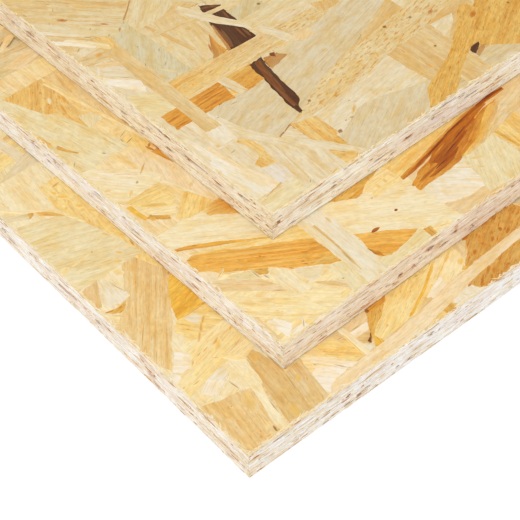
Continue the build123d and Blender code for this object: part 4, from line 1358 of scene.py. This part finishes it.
def looseFibres(rng, shape, reach):
    # rows for laidMarks: a random tone, place, length, width and angle for each fibre
    count = shape["count"]
    tones = rng.choice(list(shape["tones"]), count, p=list(shape["tones"].values()))
    along = reach * rng.random(count) ** shape["crowding"]
    if "inset" in shape:
        least, spread = shape["inset"]
        away = least + np.abs(rng.normal(0, spread, count))
        onLong = rng.random(count) < 0.5
    else:
        away = board["thickness"] * rng.random(count)
        onLong = np.ones(count, bool)
    length = rng.lognormal(*shape["lengthLog"], count).clip(*shape["length"])
    width = rng.uniform(*shape["width"], count)
    turn = np.degrees(rng.normal(0, shape["turnSpread"], count)) + np.where(onLong, 0, 90)
    x, y = np.where(onLong, along, away), np.where(onLong, away, along)
    return list(zip(tones, zip(x, y, length, width, turn)))


wholeFace = (board["length"], board["width"])
strandStyle = {
    "cuts": (3, 1),  # parts of a strand along and across
    "mapSize": wholeFace,
    # the rim band carries the painted highlight and shade of a strand's edge
    "rim": 0.35,  # width of the darker or lighter edge band
    "waver": 0.9,  # how far a split edge wanders
    "fray": 0.12,
    "tear": 0.9,  # how ragged a torn end is
    "skirt": 0.9,  # how far a strand's edge reaches down
    "skirtOut": 0.12,
    "ripple": 1.0,  # how much of the face's slow waves a strand follows
    "face": "top",
}
handStyle = {**strandStyle, "cuts": (28, 5), "mapSize": (280.0, 280.0), "waver": 0.6, "tear": 0.5,
             "fray": 0.16, "ripple": 0.0}
fleckStyle = {**handStyle, "cuts": (6, 2), "waver": 0.3, "tear": 0.4, "fray": 0.1, "rim": 0.0,
              "skirt": 0.2, "skirtOut": 0.45}
splinterStyle = {**strandStyle, "rim": 0.0, "waver": 0.2, "fray": 0.05, "tear": 0.1, "skirt": 0.5,
                 "ripple": 0.0}
faceLevels = {  # how far above the pressed face the pieces on it lie
    "laid": (-0.2, -0.03),  # the lowest and the highest listed strand
    "marks": -0.022,
    "splinters": -0.012,
    "fibres": 0.01,
}

boardNames = list(boards)
places = {name: boardFrame(name) for name in boardNames}
for step, name in enumerate(boardNames):
    rng = np.random.default_rng(40 + step)
    place, parts = places[name], boards[name]
    above, below = [[hiddenBy(place, places[other]) for other in others]
                    for others in (boardNames[step + 1:step + 2], boardNames[max(step - 1, 0):step])]
    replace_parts(boardPiece(name + "_board", place, rng, parts), name)
    strands = scattered(keepShown(scatterStrands(rng, scatterShape), above), rng)
    strandMesh(name + "_top_strands", place, strands, rng, strandStyle, sunkNear(*parts["reach"]))
    laid = laidStrands(parts["strands"], *faceLevels["laid"])
    strandMesh(name + "_corner_strands", place, laid, rng, handStyle)
    marks = laidMarks(parts["marks"], faceLevels["marks"], laid)
    strandMesh(name + "_corner_flecks", place, marks, rng, fleckStyle)
    splinters = laidMarks(looseFibres(rng, edgeSplinters, edgeSplinters["reach"]), faceLevels["splinters"])
    strandMesh(name + "_splinters", place, splinters, rng, splinterStyle)
    for face in ("long", "short"):
        reach = board["length"] if face == "long" else board["width"]
        fibres = laidMarks(looseFibres(rng, sawFibres, reach), faceLevels["fibres"])
        strandMesh(f"{name}_{face}_side_fibres", place, fibres, rng, {**splinterStyle, "face": face})
    under = scattered(keepShown(scatterStrands(rng, scatterShape), below), rng)
    strandMesh(name + "_under_strands", place, under, rng, {**strandStyle, "face": "under"})
    print("board", name, "strands", len(strands["levels"]), len(laid["levels"]), len(under["levels"]))


# Floor and light

studio = {
    "floorSize": 14,
    "floorDrop": 0.0004,  # so that the floor and the undersides don't share a plane
    "paper": "#F2F2F2",  # what lights the boards from below
    "paperSeen": "#949494",  # with the glow, this shows as white with a faint shadow
    "paperGlow": 0.78,
    "worldLight": 0.645,
    "aim": (-0.4, -0.15, 0.02),
    "lamps": {
        "window_light": {"place": (-1.6, -0.6, 1.9), "size": 1.6, "watts": 23.7},
        "fill_light": {"place": (0.4, -2.2, 1.4), "size": 1.8, "watts": 12.7},
    },
}


def backdropSeen(tree):
    # 1 for a ray that shows the backdrop itself, seen straight on or as a reflection, and 0 for
    # one that only lights the boards
    rays = addNode(tree, "ShaderNodeLightPath")
    seen = rays.outputs["Is Camera Ray"]
    for kind in ("Is Glossy Ray", "Is Transmission Ray"):
        seen = addNode(tree, "ShaderNodeMath", {"operation": "MAXIMUM"}, {
            0: seen, 1: rays.outputs[kind]}).outputs["Value"]
    return seen


def studioFloor():
    # White backing paper: the camera sees it white, with only a faint shadow at the boards.
    material = newMaterial("white backing paper")
    tree = material.node_tree
    paper, paperSeen = [addNode(tree, "ShaderNodeBsdfDiffuse", links={"Color": linear(studio[key])})
                        for key in ("paper", "paperSeen")]
    glow = addNode(tree, "ShaderNodeEmission", links={
        "Color": (1, 1, 1, 1), "Strength": studio["paperGlow"]})
    both = addNode(tree, "ShaderNodeAddShader", links={
        0: paperSeen.outputs["BSDF"], 1: glow.outputs["Emission"]})
    mixed = addNode(tree, "ShaderNodeMixShader", links={
        "Fac": backdropSeen(tree), 1: paper.outputs["BSDF"], 2: both.outputs["Shader"]})
    addNode(tree, "ShaderNodeOutputMaterial", links={"Surface": mixed.outputs["Shader"]})
    bpy.ops.mesh.primitive_plane_add(size=studio["floorSize"], location=(0, 0, -studio["floorDrop"]))
    floor = bpy.context.object
    floor.name = "studio_floor"
    floor.data.materials.append(material)


def studioLight():
    # even light from all round, and two large soft lamps
    world = bpy.data.worlds.new("studio")
    bpy.context.scene.world = world
    world.use_nodes = True
    tree = world.node_tree
    tree.nodes.clear()
    lit, seen = [addNode(tree, "ShaderNodeBackground", links={
        "Color": (1, 1, 1, 1), "Strength": strength}) for strength in (studio["worldLight"], 1.0)]
    mixed = addNode(tree, "ShaderNodeMixShader", links={
        "Fac": backdropSeen(tree), 1: lit.outputs["Background"], 2: seen.outputs["Background"]})
    addNode(tree, "ShaderNodeOutputWorld", links={"Surface": mixed.outputs["Shader"]})
    for name, values in studio["lamps"].items():
        lamp = bpy.data.lights.new(name, "AREA")
        lamp.size = values["size"]
        lamp.energy = values["watts"]
        holder = bpy.data.objects.new(name, lamp)
        holder.location = values["place"]
        toAim = Vector(studio["aim"]) - Vector(values["place"])
        holder.rotation_euler = toAim.to_track_quat("-Z", "Y").to_euler()
        bpy.context.scene.collection.objects.link(holder)


studioFloor()
studioLight()
bpy.context.scene.view_settings.view_transform = "Standard"
print("floor and light made")


# Camera: high above the near corner, looking along the boards' diagonal

photoCamera = {
    "place": (-0.876656, -0.643401, 0.626311),
    "azimuth": 39.302757,  # from +Y towards +X
    "downTilt": 47.457858,
    "roll": -1.574,
    "focalPixels": 1546.31,
    "imagePixels": 520.0,
    "sensorWidth": 36.0,
    "nearest": 0.01,
    "farthest": 50.0,
}


def addCamera():
    azimuth, tilt, roll = [math.radians(photoCamera[key]) for key in ("azimuth", "downTilt", "roll")]
    ahead = Vector((math.sin(azimuth) * math.cos(tilt), math.cos(azimuth) * math.cos(tilt),
                    -math.sin(tilt)))
    right = ahead.cross(Vector((0, 0, 1))).normalized()
    up = right.cross(ahead)
    rolledRight = right * math.cos(roll) + up * math.sin(roll)
    rolledUp = up * math.cos(roll) - right * math.sin(roll)
    data = bpy.data.cameras.new("photo_camera")
    data.sensor_width = photoCamera["sensorWidth"]
    data.lens = data.sensor_width * photoCamera["focalPixels"] / photoCamera["imagePixels"]
    data.clip_start, data.clip_end = photoCamera["nearest"], photoCamera["farthest"]
    camera = bpy.data.objects.new("photo_camera", data)
    bpy.context.scene.collection.objects.link(camera)
    turned = Matrix((rolledRight, rolledUp, -ahead)).transposed().to_4x4()
    camera.matrix_world = Matrix.Translation(photoCamera["place"]) @ turned
    bpy.context.scene.camera = camera


addCamera()
print("camera made")
